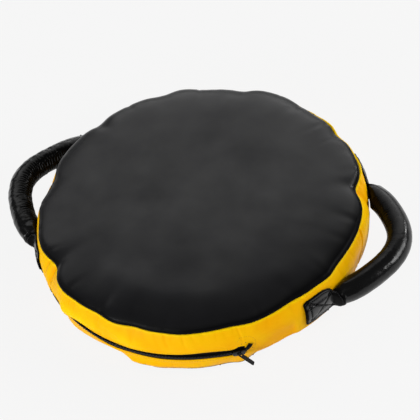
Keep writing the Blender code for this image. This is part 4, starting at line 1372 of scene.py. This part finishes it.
    def build_stops(self) -> None:
        """Clamp the stops at both ends of the teeth."""
        material = ZIP_METAL.material()
        top = self.closed_end - self.degrees(self.stop_margin + self.stop_length / 2.0)
        bottom = self.open_end + self.degrees(self.stop_margin + self.stop_length / 2.0)
        inner = self.tape_gap
        outer = self.tooth_edge
        stops = (
            ("zip_top_stop_upper", top, inner, outer),
            ("zip_top_stop_lower", top, -outer, -inner),
            ("zip_bottom_stop", bottom, -outer, outer),
        )
        for name, angle, low, high in stops:
            size = (self.stop_thickness, self.stop_length, high - low)
            bm = soft_box((self.stop_low, -self.stop_length / 2.0, low), size, 0.0005, 3)
            bm.transform(self.seat(angle))
            piece = store(name + "_clamped", bm, material, 30.0)
            settle(piece, "drum", "zip_metal", name)

    def plate(self, low: float, high: float, dome: float) -> BMesh:
        """Slider shield with a rounded outline and a softened, slightly domed face."""
        bm = bmesh.new()
        bmesh.ops.create_cube(bm, size=1.0)
        for vert in bm.verts:
            width = self.slider_narrow if vert.co.y < 0.0 else self.slider_wide
            vert.co = Vector((vert.co.x, vert.co.y * self.slider_length, vert.co.z * width))
        corners = [edge for edge in bm.edges if abs(edge.verts[0].co.x - edge.verts[1].co.x) > 0.5]
        soften(bm, corners, self.shield_corner, 6)
        for vert in bm.verts:
            vert.co.x = low if vert.co.x < 0.0 else high
        soften(bm, sharp_edges(bm, 1.0), 0.0004, 3)
        caps = [face for face in bm.faces if face.normal.x > 0.9 and face.calc_area() > 0.00002]
        bmesh.ops.inset_region(bm, faces=caps, thickness=0.0018)
        tops = {vert for face in caps for vert in face.verts}
        bmesh.ops.translate(bm, vec=(dome, 0.0, 0.0), verts=list(tops))
        return bm

    def build_slider(self) -> None:
        """Cast the slider: front shield with flanges and bridge, and the back shield."""
        material = ZIP_METAL.material()
        seat = self.seat(self.slider_angle())
        bm = self.plate(self.shield_low, self.shield_high, 0.0003)
        long = self.slider_length * self.flange_share
        for side in (-1.0, 1.0):
            corner = (self.stop_low, -long / 2.0 - 0.0003, side * (self.tooth_edge + 0.0004))
            size = (self.shield_low + 0.0006 - self.stop_low, long, side * self.flange_thickness)
            absorb(bm, soft_box(corner, size, 0.0003, 2))
        absorb(bm, self.arch(self.shield_high))
        bm.transform(seat)
        piece = store("zip_slider_front_cast", bm, material, 35.0)
        settle(piece, "slider", "zip_metal", "zip_slider_front")
        back = self.plate(-self.tape_thickness - 0.0019, -self.tape_thickness - 0.0007, 0.0)
        back.transform(seat)
        piece = store("zip_slider_back_cast", back, material, 35.0)
        settle(piece, "slider", "zip_metal", "zip_slider_back")

    def arch(self, face: float) -> BMesh:
        """Rounded bridge that the pull hangs on."""
        half = self.bridge_half
        rise = self.bridge_rise
        top = face + rise + 0.0006
        points = [(face - 0.0006, -half), (face + 0.0012, -half), (face + rise, -half + 0.0004)]
        points += [(top - 0.0002, -half + 0.0010), (top, 0.0), (top - 0.0002, half - 0.0010)]
        points += [(face + rise, half - 0.0004), (face + 0.0012, half), (face - 0.0006, half)]
        stations = []
        for index, (out, along) in enumerate(points):
            before = points[max(0, index - 1)]
            after = points[min(len(points) - 1, index + 1)]
            run = Vector((after[0] - before[0], after[1] - before[1], 0.0)).normalized()
            side = Vector((-run.y, run.x, 0.0))
            stations.append(Matrix((
                (side.x * self.bridge_wire, 0.0, run.x, out),
                (side.y * self.bridge_wire, 0.0, run.y, along),
                (0.0, self.bridge_width, 0.0, 0.0),
                (0.0, 0.0, 0.0, 1.0),
            )))
        return swept(stations, 12)

    def pull_frame(self) -> Matrix:
        """Frame on the bridge's pin: X runs along the pull."""
        height = self.shield_high + self.pin_height
        turn = Matrix.Rotation(math.radians(90.0 - self.pull_swing), 4, "Z")
        lean = Matrix.Rotation(math.radians(self.pull_lean), 4, "X")
        return self.seat(self.slider_angle()) @ Matrix.Translation((height, 0.0, 0.0)) @ turn @ lean

    def middle_faces(self, bm: BMesh, start: float, end: float, half: float) -> list[BMFace]:
        """Faces of the pull's middle between two distances along it."""
        centres = ((face, face.calc_center_median()) for face in bm.faces)
        return [face for face, centre in centres if start < centre.x < end and abs(centre.z) < half]

    def build_pull(self) -> None:
        """Stamp the pull: an eye, a raised rim and a sunk middle."""
        root, eye = self.pull_eye
        start, last = self.pull_sunk
        runs = (-root, root, eye, 0.0054, start, 0.0110, 0.0150, 0.0190, last, 0.0230, self.pull_length)
        halves = (self.pull_eye_half, self.pull_sunk_half, self.pull_width / 2.0)
        rows = tuple(-half for half in reversed(halves)) + (0.0,) + halves
        all_over, at_end, at_root = self.pull_shares
        bm = bmesh.new()
        bmesh.ops.create_grid(bm, x_segments=len(runs) - 1, y_segments=len(rows) - 1, size=0.5)
        for vert in bm.verts:
            run = runs[round((vert.co.x + 0.5) * (len(runs) - 1))]
            row = rows[round((vert.co.y + 0.5) * (len(rows) - 1))]
            past = max(0.0, (run - last) / (self.pull_length - last))
            before = max(0.0, (root - run) / (2.0 * root))
            narrow = all_over * (1.0 - at_end * past ** 2) * (1.0 - at_root * before)
            vert.co = Vector((run, 0.0, row * narrow))
        hole = self.middle_faces(bm, root, eye, self.pull_eye_half)
        bmesh.ops.delete(bm, geom=hole, context="FACES")
        bmesh.ops.recalc_face_normals(bm, faces=bm.faces)
        grown = bmesh.ops.extrude_face_region(bm, geom=bm.faces[:])
        moved = [item for item in grown["geom"] if isinstance(item, bmesh.types.BMVert)]
        bmesh.ops.translate(bm, vec=(0.0, self.pull_thickness, 0.0), verts=moved)
        bmesh.ops.translate(bm, vec=(0.0, -self.pull_thickness / 2.0, 0.0), verts=bm.verts[:])
        bmesh.ops.recalc_face_normals(bm, faces=bm.faces)
        soften(bm, sharp_edges(bm, 1.0), self.pull_edge, 2)
        for side in (-1.0, 1.0):
            inner = self.middle_faces(bm, start, last, self.pull_sunk_half)
            sunk = [face for face in inner if face.normal.y * side > 0.9]
            bmesh.ops.inset_region(bm, faces=sunk, thickness=self.pull_sunk_wall)
            low = {vert for face in sunk for vert in face.verts}
            bmesh.ops.translate(bm, vec=(0.0, -side * self.pull_sunk_depth, 0.0), verts=list(low))
        bm.transform(self.pull_frame())
        piece = store("zip_pull_stamped", bm, ZIP_METAL.material(), 30.0)
        settle(piece, "pull", "zip_metal", "zip_pull_tab")

    def build_tape_end(self) -> None:
        """Turn the upper tape's loose end out of the mouth and lay it on the wall."""
        course = (
            (-59.3, 0.0425, -0.0022), (-58.9, 0.0415, -0.0002), (-58.3, 0.0422, 0.0014),
            (-57.6, 0.0452, 0.0022), (-57.0, 0.0488, 0.0024), (-56.4, 0.0520, 0.0014),
        )
        bm = bmesh.new()
        bmesh.ops.create_grid(bm, x_segments=24, y_segments=4, size=0.5)
        for vert in bm.verts:
            share = (vert.co.x + 0.5) * (len(course) - 1)
            first = min(int(share), len(course) - 2)
            part = share - first
            angle, height, off = (a + (b - a) * part for a, b in zip(course[first], course[first + 1]))
            start = Vector(course[first])
            end = Vector(course[first + 1])
            run = Vector((math.radians(end.x - start.x) * self.ring, end.y - start.y, 0.0)).normalized()
            across = vert.co.y * 2.0 * self.loose_half
            angle += math.degrees(-run.y * across / self.ring)
            height += run.x * across
            vert.co = polar(self.form.wall_radius(height) + off, angle, height)
        bmesh.ops.smooth_vert(
            bm, verts=bm.verts[:], factor=0.5, use_axis_x=True, use_axis_y=True, use_axis_z=True,
        )
        face_towards(bm)
        piece = store("zip_tape_upper_loose_end", bm, ZIP_TAPE.material())
        metre_map(piece, self.track())
        wall_up(piece, self.tape_thickness)
        settle(piece, "drum", "zip_tape")


def metre_map(piece: Object, radius: float) -> None:
    """Give a piece on the ring a UV map in metres: round the ring, and up."""
    mesh = piece.data
    layer = mesh.uv_layers.new(name="UVMap")
    for loop in mesh.loops:
        place = mesh.vertices[loop.vertex_index].co
        layer.data[loop.index].uv = (math.atan2(place.y, place.x) * radius, place.z)


class Side(Enum):
    """Which side of the mitt a handle is on, as its turn about the Z axis in degrees."""

    RIGHT = 0.0
    LEFT = 180.0


class End(Enum):
    """Which end of a handle, as the sign along its own arc."""

    FIRST = -1.0
    SECOND = 1.0


def by_end(run: np.ndarray, pair: Pair) -> np.ndarray:
    """The first value on a handle's first half, and the second on the other."""
    return np.where(run < 0.0, pair[0], pair[1])


@dataclass
class Handle:
    """One handle: a leather sleeve round a foam roll, its flat ends sewn to the wall."""

    form: MittForm
    side: Side
    tapers: Pair
    overruns: Pair
    groove: Pair
    pleat_depth: float
    pleat_range: Pair
    crinkle: float
    turn: float = 0.0
    height: float = 0.048
    standoff: float = 0.0461
    lift: float = 0.0085
    squeeze: float = 0.0040
    end_bulges: Pair = (0.0005, 0.0)
    root_angle: float = 22.06
    root_gap: float = 0.0019
    grip: float = 0.01675
    tab_start: float = 24.5
    tab_end: float = 36.5
    tab_rise: float = 0.0055
    tab_off: float = 0.0022
    tab_ease: float = 0.6
    tab_edge: float = 0.0019
    neck_half: float = 0.0165
    neck_pinch: float = 0.0012
    far_half: float = 0.0222
    far_corner: float = 0.0040
    box_shares: Pair = (0.14, 0.86)
    box_climb: float = 0.80
    pleat_pitch: float = 0.0046
    pleat_fade: float = 0.014
    # Tone of the sleeve: a base tone, painted sheen on the tabs, painted shade in the stitch grooves,
    # towards the wall and on the blunt end
    base_tone: float = -0.45
    tab_painted_sheen: float = 0.62
    stitch_painted_shade: float = 2.2
    wall_side_painted_shade: float = 0.92
    end_face_painted_shade: float = 1.05
    hem_dull: float = 0.6
    blend_radii: Pair = (0.216, 0.236)
    leather: float = 0.0010
    around: int = 88
    along: int = 440
    arc_rows: int = 120
    bend_rows: int = 12
    tab_rows: int = 40
    strap_half: float = 0.0085
    strap_thickness: float = 0.0014
    course: list[Vector] = field(default_factory=list)
    reach: list[float] = field(default_factory=list)
    root_reach: float = 0.0
    root_x: float = 0.0
    wall: float = 0.0

    def __post_init__(self) -> None:
        """Lay the sleeve's centre line, from the arc's middle to the tab's far end."""
        wall = float(self.form.wall_radius(self.height))
        root = polar(wall + self.root_gap, self.root_angle, 0.0)
        far = wall + self.standoff
        rise = far - root.x
        radius = (root.y ** 2 + rise ** 2) / (2.0 * rise)
        centre = Vector((far - radius, 0.0, 0.0))
        full = math.degrees(math.asin(root.y / radius))
        line = []
        for step in range(self.arc_rows + 1):
            angle = (full - 5.0) * step / self.arc_rows
            size = radius - self.squeeze * math.sin(math.pi * angle / full) ** 2
            line.append(centre + polar(size, angle, 0.0))
        leave = line[-1]
        tab_start = self.tab_start + self.tab_ease
        join = polar(wall + self.tab_off, tab_start, 0.0)
        for step in range(1, self.bend_rows):
            share = step / self.bend_rows
            first = leave.lerp(root, share)
            second = root.lerp(join, share)
            line.append(first.lerp(second, share))
        for step in range(self.tab_rows + 1):
            angle = tab_start + (self.tab_end - self.tab_start - self.tab_ease) * step / self.tab_rows
            line.append(polar(wall + self.tab_off, angle, 0.0))
        reach = [0.0]
        for first, second in zip(line, line[1:]):
            reach.append(reach[-1] + (second - first).length)
        self.course = line
        self.reach = reach
        self.root_reach = reach[self.arc_rows + self.bend_rows // 2]
        self.root_x = root.x
        self.wall = wall

    @property
    def length(self) -> float:
        """Length of half the sleeve, tab included."""
        return self.reach[-1]

    @property
    def heading(self) -> float:
        """Polar angle of the handle's middle, in degrees."""
        return self.side.value + self.turn

    def into(self, run: np.ndarray) -> np.ndarray:
        """Distance from the sewn root into the sleeve, below zero on a tab."""
        return self.root_reach - abs(run)

    def tab_share(self, run: np.ndarray) -> np.ndarray:
        """Share of the tab's length that lies before a place."""
        return np.clip(-self.into(run) / (self.length - self.root_reach), 0.0, 1.0)

    def centre(self, run: np.ndarray) -> tuple[np.ndarray, np.ndarray]:
        """Centre line and its outward direction at distances from the middle of the arc."""
        ahead = abs(run)
        xs = np.array([point.x for point in self.course])
        ys = np.array([point.y for point in self.course])
        reach = np.array(self.reach)
        step = 0.0012
        x = np.interp(ahead, reach, xs)
        y = np.interp(ahead, reach, ys)
        dx = np.interp(ahead + step, reach, xs) - np.interp(ahead - step, reach, xs)
        dy = np.interp(ahead + step, reach, ys) - np.interp(ahead - step, reach, ys)
        size = np.maximum(np.hypot(dx, dy), WELD)
        out = np.stack((dy / size, -dx / size), axis=1)
        sign = np.where(run < 0.0, -1.0, 1.0)
        out[:, 1] *= sign
        return np.stack((x, y * sign), axis=1), out

    def middle_height(self, run: np.ndarray) -> np.ndarray:
        """Height of the centre line, which climbs along the grip and along each tab."""
        centre, _ = self.centre(run)
        far = self.wall + self.standoff
        grip = self.lift * np.maximum(centre[:, 0] - self.root_x, 0.0) / (far - self.root_x)
        angle = np.degrees(np.arctan2(abs(centre[:, 1]), centre[:, 0]))
        share = np.clip((angle - self.tab_start) / (self.tab_end - self.tab_start), 0.0, 1.0)
        on_tab = abs(run) > self.root_reach
        return self.height + np.where(on_tab, self.tab_rise * self.spread(share), grip)

    def spread(self, share: np.ndarray) -> np.ndarray:
        """How far a tab has widened at a share of its length."""
        return 1.0 - (1.0 - np.clip(share / 0.45, 0.0, 1.0)) ** 2

    def wall_lean(self, run: np.ndarray, up: np.ndarray) -> np.ndarray:
        """How far the wall leans out some way above the centre line, where a tab lies on it."""
        lean = self.form.wall_radius(self.middle_height(run) + up) - self.wall
        return lean * smooth_step(1.0 - (self.into(run) + 0.004) / 0.014)

    def laid(self, run: np.ndarray, across: np.ndarray, up: np.ndarray) -> np.ndarray:
        """Places beside the centre line, on the handle's side, with the tabs drawn in as the wall is."""
        centre, out = self.centre(run)
        x = centre[:, 0] + out[:, 0] * across
        y = centre[:, 1] + out[:, 1] * across
        turn = math.radians(self.heading)
        places = np.stack((
            x * math.cos(turn) - y * math.sin(turn), x * math.sin(turn) + y * math.cos(turn),
            self.middle_height(run) + up,
        ), axis=1)
        on_wall = smooth_step(1.0 - (self.into(run) + 0.004) / 0.012)
        return places + (self.form.draw_in(places) - places) * on_wall[:, None]

    def surface(self, run: np.ndarray, turn: np.ndarray) -> np.ndarray:
        """Points on the sleeve and its tabs.

        Args:
            run: distance along the centre line from the middle of the arc, signed.
            turn: turn round the section in radians; 0 faces outwards, a quarter turn faces up.

        Returns:
            Places, one row each.
        """
        across, up = self.sleeve_section(run, turn)
        flat_across, flat_up = self.tab_section(run, turn)
        ahead = self.into(run) + by_end(run, self.overruns)
        round_part = smooth_step((ahead + 0.001) / 0.005)
        across = flat_across + (across - flat_across) * round_part
        up = flat_up + (up - flat_up) * round_part
        return self.laid(run, across, up)

    def sleeve_section(self, run: np.ndarray, turn: np.ndarray) -> tuple[np.ndarray, np.ndarray]:
        """Offsets outwards and upwards of the stuffed sleeve, which leaves room for the wall."""
        centre, out = self.centre(run)
        into = self.into(run)
        swell = np.clip((into + by_end(run, self.overruns)) / by_end(run, self.tapers), 0.0, 1.0)
        blunt = (1.0 - (1.0 - swell) ** 3.0) ** 0.5
        radius = np.hypot(centre[:, 0], centre[:, 1])
        facing = (out * centre).sum(axis=1) / radius
        room = np.maximum((radius - self.wall - 0.0007) / np.maximum(facing, 0.15), 0.0012)
        outer = self.tab_edge + (self.grip - self.tab_edge) * blunt
        inner = np.minimum(outer, room)
        outer = outer + 0.3 * (outer - inner) * (1.0 - swell)
        outer = outer + by_end(run, self.end_bulges) * smooth_step(1.0 - into / 0.045)
        rise = self.grip - self.neck_half + self.neck_pinch
        tall = self.neck_half - self.neck_pinch + rise * smooth_step((into + 0.005) / 0.013)
        relief = self.pleats(run, turn) + self.end_groove(run, turn)
        across = np.where(np.cos(turn) > 0.0, outer, inner) * np.cos(turn)
        return across + relief * np.cos(turn), tall * np.sin(turn) + relief * np.sin(turn)

    def tab_section(self, run: np.ndarray, turn: np.ndarray) -> tuple[np.ndarray, np.ndarray]:
        """Offsets outwards and upwards of a flat tab, which lies on the wall over its strap."""
        share = self.tab_share(run)
        half = self.neck_half + (self.far_half - self.neck_half) * self.spread(share)
        corner = np.clip((share - 0.88) / 0.12, 0.0, 1.0)
        half = half - self.far_corner * (1.0 - np.sqrt(np.maximum(1.0 - corner ** 2, 0.0)))
        wrapped = (turn + QUARTER_TURN) % FULL_TURN
        quarters = wrapped / QUARTER_TURN
        climb = np.where(wrapped < math.pi, quarters - 1.0, 3.0 - quarters)
        up = climb * half
        thick = 0.00105 + 0.00085 * smooth_step((self.strap_half + 0.003 - abs(up)) / 0.003)
        rounded = np.sqrt(np.maximum(1.0 - np.clip((abs(climb) - 0.95) / 0.05, 0.0, 1.0) ** 2, 0.0))
        across = thick - self.tab_edge + np.where(wrapped < math.pi, 1.0, -1.0) * thick * rounded
        across = across + (wrapped < math.pi) * rounded * self.quilting(share, climb)
        return across + self.wall_lean(run, up), up

    def pleats(self, run: np.ndarray, turn: np.ndarray) -> np.ndarray:
        """Slanting pleats on the inner bend, and fine creases all over."""
        inner = (np.clip(0.20 - np.cos(turn), 0.0, 1.20) / 1.20) ** 1.7
        spots = np.stack((run, np.cos(turn) * 0.015, np.sin(turn) * 0.015), axis=1)
        seed = 1.3 if self.side is Side.LEFT else 6.1
        wobble = ripple(spots, 0.016, seed)
        phase = run / self.pleat_pitch + 1.1 * np.sin(turn) + 0.55 * wobble
        valley = (0.5 + 0.5 * np.cos(2.0 * math.pi * phase)) ** 1.8
        strength = 0.75 + 1.3 * ripple(spots, 0.012, seed + 3.0)
        start, end = self.pleat_range
        ends = smooth_step((run - start) / self.pleat_fade) * smooth_step((end - run) / self.pleat_fade)
        pleat = -self.pleat_depth * inner * valley * np.clip(strength, 0.1, 1.5) * ends
        spread = 0.0004 * inner * ends
        fine = 0.00036 * ripple(spots, 0.010, seed + 7.0) + 0.00024 * ripple(spots, 0.0050, seed + 9.0)
        return pleat + spread + self.crinkle * fine

    def end_groove(self, run: np.ndarray, turn: np.ndarray) -> np.ndarray:
        """Lengthwise fold where the sleeve flattens, between two lobes."""
        across = (turn - math.radians(48.0) + math.pi) % FULL_TURN - math.pi
        line = bell(across, 0.20) - 0.35 * bell(abs(across), 0.3, 0.55)
        return -by_end(run, self.groove) * line * bell(self.into(run), 0.016, 0.006)

    def quilting(self, share: np.ndarray, climb: np.ndarray) -> np.ndarray:
        """Relief of the box-and-cross stitching on a tab."""
        near, far = self.box_shares
        across = climb / self.box_climb
        diagonal = (share - 0.5) / 0.36
        cross = np.minimum(abs(across - diagonal) * 0.45, abs(across + diagonal) * 0.45)
        ends = np.minimum(abs(share - near), abs(share - far)) * 2.2
        nearest = np.minimum(cross, np.minimum(abs(abs(across) - 1.0), ends))
        inside = (share > 0.05) & (share < 0.97)
        return np.where(inside, -0.00060 * bell(nearest, 0.070) + 0.00020, 0.0)

    def tone_with_painted_light(self, run: np.ndarray, turn: np.ndarray) -> np.ndarray:
        """Tone of the leather: a painted sheen over a tab's fields, painted shade in its stitch grooves, on
        the side facing the wall and on the sleeve's blunt end, and darker along the tab's edges.
        """
        share = self.tab_share(run)
        climb = ((turn + QUARTER_TURN) % FULL_TURN - QUARTER_TURN) / QUARTER_TURN
        into = self.into(run) + by_end(run, self.overruns)
        on_face = smooth_step((0.93 - abs(climb)) / 0.06) * smooth_step(-into / 0.003)
        on_face *= smooth_step((0.965 - share) / 0.03)
        sunk = np.clip(-self.quilting(share, climb) / 0.00030, 0.0, 1.0)
        # Painted shade on the side facing the wall and on the sleeve's end; the tab's edges are darker too
        towards_wall = self.wall_side_painted_shade * smooth_step((-np.cos(turn) + 0.25) / 0.7)
        end_face = self.end_face_painted_shade * smooth_step(1.5 - into / 0.010)
        dull = np.maximum(np.maximum(towards_wall, end_face), self.hem_dull * smooth_step(share / 0.02))
        return self.base_tone + on_face * (self.tab_painted_sheen - self.stitch_painted_shade * sunk) - (1.0 - on_face) * dull

    def build(self) -> None:
        """Make the sleeve with its tabs, the stitching, the roll and the webbing."""
        self.build_sleeve()
        self.build_stitches()
        self.build_roll()
        self.build_webbing()

    @property
    def word(self) -> str:
        """The side's name in node names."""
        return self.side.name.lower()

    def build_sleeve(self) -> None:
        """Wrap a grid into the sleeve and its two flat ends."""
        bm = bmesh.new()
        bmesh.ops.create_grid(bm, x_segments=self.along, y_segments=self.around, size=0.5)
        flat = vertex_places(bm)
        share = flat[:, 0] * 2.0
        run = share * self.length
        turn = (flat[:, 1] + 0.5) * 2.0 * math.pi
        places = self.surface(run, turn)
        move_vertices(bm, places)
        layer = bm.verts.layers.float.new("tone_with_painted_light")
        for vert, value in zip(bm.verts, self.tone_with_painted_light(run, turn)):
            vert[layer] = value
        bmesh.ops.remove_doubles(bm, verts=bm.verts, dist=0.00001)
        tone_with_painted_light = np.array([vert[layer] for vert in bm.verts])
        bm.verts.layers.float.remove(layer)
        bmesh.ops.recalc_face_normals(bm, faces=bm.faces)
        sign = 1.0 if self.side is Side.RIGHT else -1.0
        outer = max(bm.faces, key=lambda face: face.calc_center_median().x * sign)
        if outer.normal.x * sign < 0.0:
            bmesh.ops.reverse_faces(bm, faces=bm.faces)
        piece = store(self.word + "_handle_leather", bm, BLACK_HANDLE.material(), 70.0)
        # The tone, with its painted sheen and painted shade, goes to the relief attribute
        keep_relief(piece, tone_with_painted_light)
        wall_up(piece, self.leather)
        start, end = (polar(radius, self.heading, self.height) for radius in self.blend_radii)
        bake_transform(piece, "drum", self.word + "_handle", start=tuple(start), end=tuple(end))
        settle(
            piece, "drum", "handle_leather", self.word + "_handle_sleeve",
            self.word + "_front_tab", self.word + "_rear_tab",
        )

    def tab_line(self, end: End, path: Path) -> tuple[list[Vector], list[Vector]]:
        """Points and normals on a tab's outer face along corners given as share and climb."""
        shares = []
        climbs = []
        for (share_a, climb_a), (share_b, climb_b) in zip(path, path[1:]):
            for step in range(24):
                shares.append(share_a + (share_b - share_a) * step / 23.0)
                climbs.append(climb_a + (climb_b - climb_a) * step / 23.0)
        run = end.value * (self.root_reach + np.array(shares) * (self.length - self.root_reach))
        turn = np.array(climbs) * math.pi / 2.0
        places = self.surface(run, turn)
        points = [Vector(place) for place in places]
        normals = [Vector((point.x, point.y, 0.0)).normalized() for point in points]
        return [point + normal * 0.00015 for point, normal in zip(points, normals)], normals

    def build_stitches(self) -> None:
        """Sew each tab with a box and a cross."""
        bm = bmesh.new()
        near, far = self.box_shares
        corners = [
            (near, -self.box_climb), (far, -self.box_climb), (far, self.box_climb), (near, self.box_climb),
        ]
        paths = (corners + corners[:1], corners[0::2], [corners[3], corners[1]])
        for end in End:
            for path in paths:
                places, normals = self.tab_line(end, path)
                stitch_line(bm, places, normals, 0.0031, 0.0007)
        bmesh.ops.recalc_face_normals(bm, faces=bm.faces)
        piece = store(self.word + "_tab_stitching", bm, BLACK_THREAD.material(), 60.0)
        settle(piece, "drum", "webbing")

    def build_roll(self) -> None:
        """Foam roll inside the sleeve, with softened ends."""
        node = self.word + "_handle_padding"
        bm = merged_copy(node)
        soften(bm, sharp_edges(bm, 1.1), 0.0008, 2, clamp=True)
        piece = store(self.word + "_handle_foam_roll", bm, ROLL_FOAM.material(), 60.0)
        settle(piece, self.word + "_handle", "padding", node)

    def strap(self, name: str, first: float, last: float, half: float) -> Object:
        """Flat webbing on edge along the centre line, between two distances from the middle."""
        bm = bmesh.new()
        bmesh.ops.create_grid(bm, x_segments=60, y_segments=6, size=0.5)
        flat = vertex_places(bm)
        run = first + (last - first) * (flat[:, 0] + 0.5)
        up = flat[:, 1] * 2.0 * half
        move_vertices(bm, self.laid(run, self.wall_lean(run, up) - 0.00005, up))
        layer = bm.loops.layers.uv.new("UVMap")
        bm.verts.index_update()
        for face in bm.faces:
            for loop in face.loops:
                loop[layer].uv = (run[loop.vert.index], up[loop.vert.index])
        piece = store(name, bm, WEBBING.material())
        wall_up(piece, self.strap_thickness, 0.0)
        edge = piece.modifiers.new("edge", "BEVEL")
        edge.width = 0.0003
        edge.segments = 2
        return piece

    def build_webbing(self) -> None:
        """Webbing in the roll, and its two sewn ends in the tabs."""
        grip = self.strap(self.word + "_handle_strap", -0.085, 0.085, 0.0100)
        settle(grip, self.word + "_handle", "webbing", self.word + "_handle_webbing")
        for end in End:
            forward = end.value if self.side is Side.RIGHT else -end.value
            where = "rear" if forward > 0.0 else "front"
            tail = self.strap(
                self.word + "_" + where + "_strap_end",
                end.value * (self.root_reach - 0.010), end.value * (self.length - 0.006), self.strap_half,
            )
            settle(tail, "drum", "webbing", self.word + "_" + where + "_webbing")


@dataclass
class Studio:
    """Pale floor, soft lamps and the camera at the photograph's angle."""

    azimuth: float = 26.01
    elevation: float = 47.68
    roll: float = -11.22
    distance: float = 1.921
    focal_share: float = 1375.1 / 420.0
    target: Place = (0.0069, 0.0153, 0.05)
    backdrop: str = "#F9F9F9"
    floor: str = "#E8E8E8"
    floor_roughness: float = 0.9
    floor_glow: float = 0.93
    floor_half: float = 12.0
    floor_drop: float = 0.0004

    def build(self) -> None:
        """Set the stage."""
        scene = bpy.context.scene
        scene.view_settings.view_transform = "Standard"
        self.build_floor()
        self.build_world()
        self.add_lamp("key", -20.0, 16.0, 2.2, (1.5, 0.8), 35.0)
        self.add_lamp("fill", 106.0, 28.0, 2.3, (1.6, 0.7), 28.0)
        self.add_lamp("spark", 144.0, 20.0, 2.6, (0.25, 0.20), 7.0)
        self.add_lamp("behind", 206.0, 45.0, 2.6, (4.6, 1.3), 19.0)
        self.add_lamp("horizon", 189.0, 21.0, 2.6, (2.8, 0.6), 10.0)
        self.build_camera()

    def direction(self, azimuth: float, elevation: float) -> Vector:
        """Unit vector from the object towards an azimuth from -Y and an elevation."""
        turn = math.radians(azimuth)
        rise = math.radians(elevation)
        return Vector((math.sin(turn) * math.cos(rise), -math.cos(turn) * math.cos(rise), math.sin(rise)))

    def build_camera(self) -> None:
        """Aim the camera as the photograph was taken."""
        back = self.direction(self.azimuth, self.elevation)
        across = Vector((0.0, 0.0, 1.0)).cross(back).normalized()
        up = back.cross(across)
        turn = math.radians(self.roll)
        right = across * math.cos(turn) + up * math.sin(turn)
        top = up * math.cos(turn) - across * math.sin(turn)
        place = Vector(self.target) + back * self.distance
        data = bpy.data.cameras.new("camera")
        data.sensor_width = 36.0
        data.lens = 36.0 * self.focal_share
        camera = bpy.data.objects.new("camera", data)
        camera.matrix_world = Matrix((
            (right.x, top.x, back.x, place.x),
            (right.y, top.y, back.y, place.y),
            (right.z, top.z, back.z, place.z),
            (0.0, 0.0, 0.0, 1.0),
        ))
        bpy.context.scene.collection.objects.link(camera)
        bpy.context.scene.camera = camera

    def add_lamp(
        self, name: str, azimuth: float, elevation: float, distance: float, size: Pair, power: float,
    ) -> None:
        """Hang one soft lamp and aim it at the mitt."""
        data = bpy.data.lights.new(name, "AREA")
        data.shape = "RECTANGLE"
        data.size, data.size_y = size
        data.energy = power
        lamp = bpy.data.objects.new(name, data)
        way = self.direction(azimuth, elevation)
        lamp.location = way * distance
        lamp.rotation_euler = way.to_track_quat("Z", "Y").to_euler()
        bpy.context.scene.collection.objects.link(lamp)

    def build_floor(self) -> None:
        """Lay the pale floor, which keeps a soft shadow."""
        bm = bmesh.new()
        bmesh.ops.create_grid(bm, x_segments=1, y_segments=1, size=self.floor_half)
        bmesh.ops.translate(bm, vec=(0.0, 0.0, -self.floor_drop), verts=bm.verts[:])
        made = Shading("paper_floor_matt")
        made.connect(made.shader, {"Base Color": linear(self.floor), "Roughness": self.floor_roughness})
        by_camera = made.add("LightPath", "Is Camera Ray")
        seen = made.combine("MAXIMUM", by_camera, by_camera.node.outputs["Is Glossy Ray"])
        share = made.combine("MULTIPLY", seen, self.floor_glow)
        glow = made.add("Emission", "Emission", {"Color": linear(self.backdrop), "Strength": 1.0})
        mix = made.add("MixShader", 0, {0: share, 1: made.shader.outputs["BSDF"], 2: glow})
        made.connect(made.tree.nodes["Material Output"], {"Surface": mix})
        store("floor", bm, made.material)

    def build_world(self) -> None:
        """Even grey surroundings."""
        world = bpy.data.worlds.new("studio")
        world.use_nodes = True
        surroundings = world.node_tree.nodes["Background"]
        surroundings.inputs["Color"].default_value = (0.11, 0.11, 0.113, 1.0)
        surroundings.inputs["Strength"].default_value = 1.0
        bpy.context.scene.world = world


def main() -> None:
    """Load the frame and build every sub-assembly."""
    logging.basicConfig(level=logging.INFO, format="%(name)s: %(message)s")
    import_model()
    form = MittForm()
    StrikingPanel(form).build()
    wall = SideWall(form)
    wall.build()
    wall.sew()
    BackPanel(form).build()
    FoamCore().build()
    Zip(form).build()
    Handle(
        form, Side.RIGHT, tapers=(0.018, 0.020), overruns=(0.012, 0.006), groove=(0.0020, 0.0006),
        pleat_depth=0.0007, pleat_range=(-0.03, 0.10), crinkle=0.45,
    ).build()
    Handle(
        form, Side.LEFT, tapers=(0.023, 0.030), overruns=(0.014, 0.012), groove=(0.0010, 0.0012),
        pleat_depth=0.0019, pleat_range=(-0.105, 0.105), crinkle=1.6, turn=-3.0, end_bulges=(0.0062, 0.0),
    ).build()
    Studio().build()


if __name__ == "__main__":
    main()
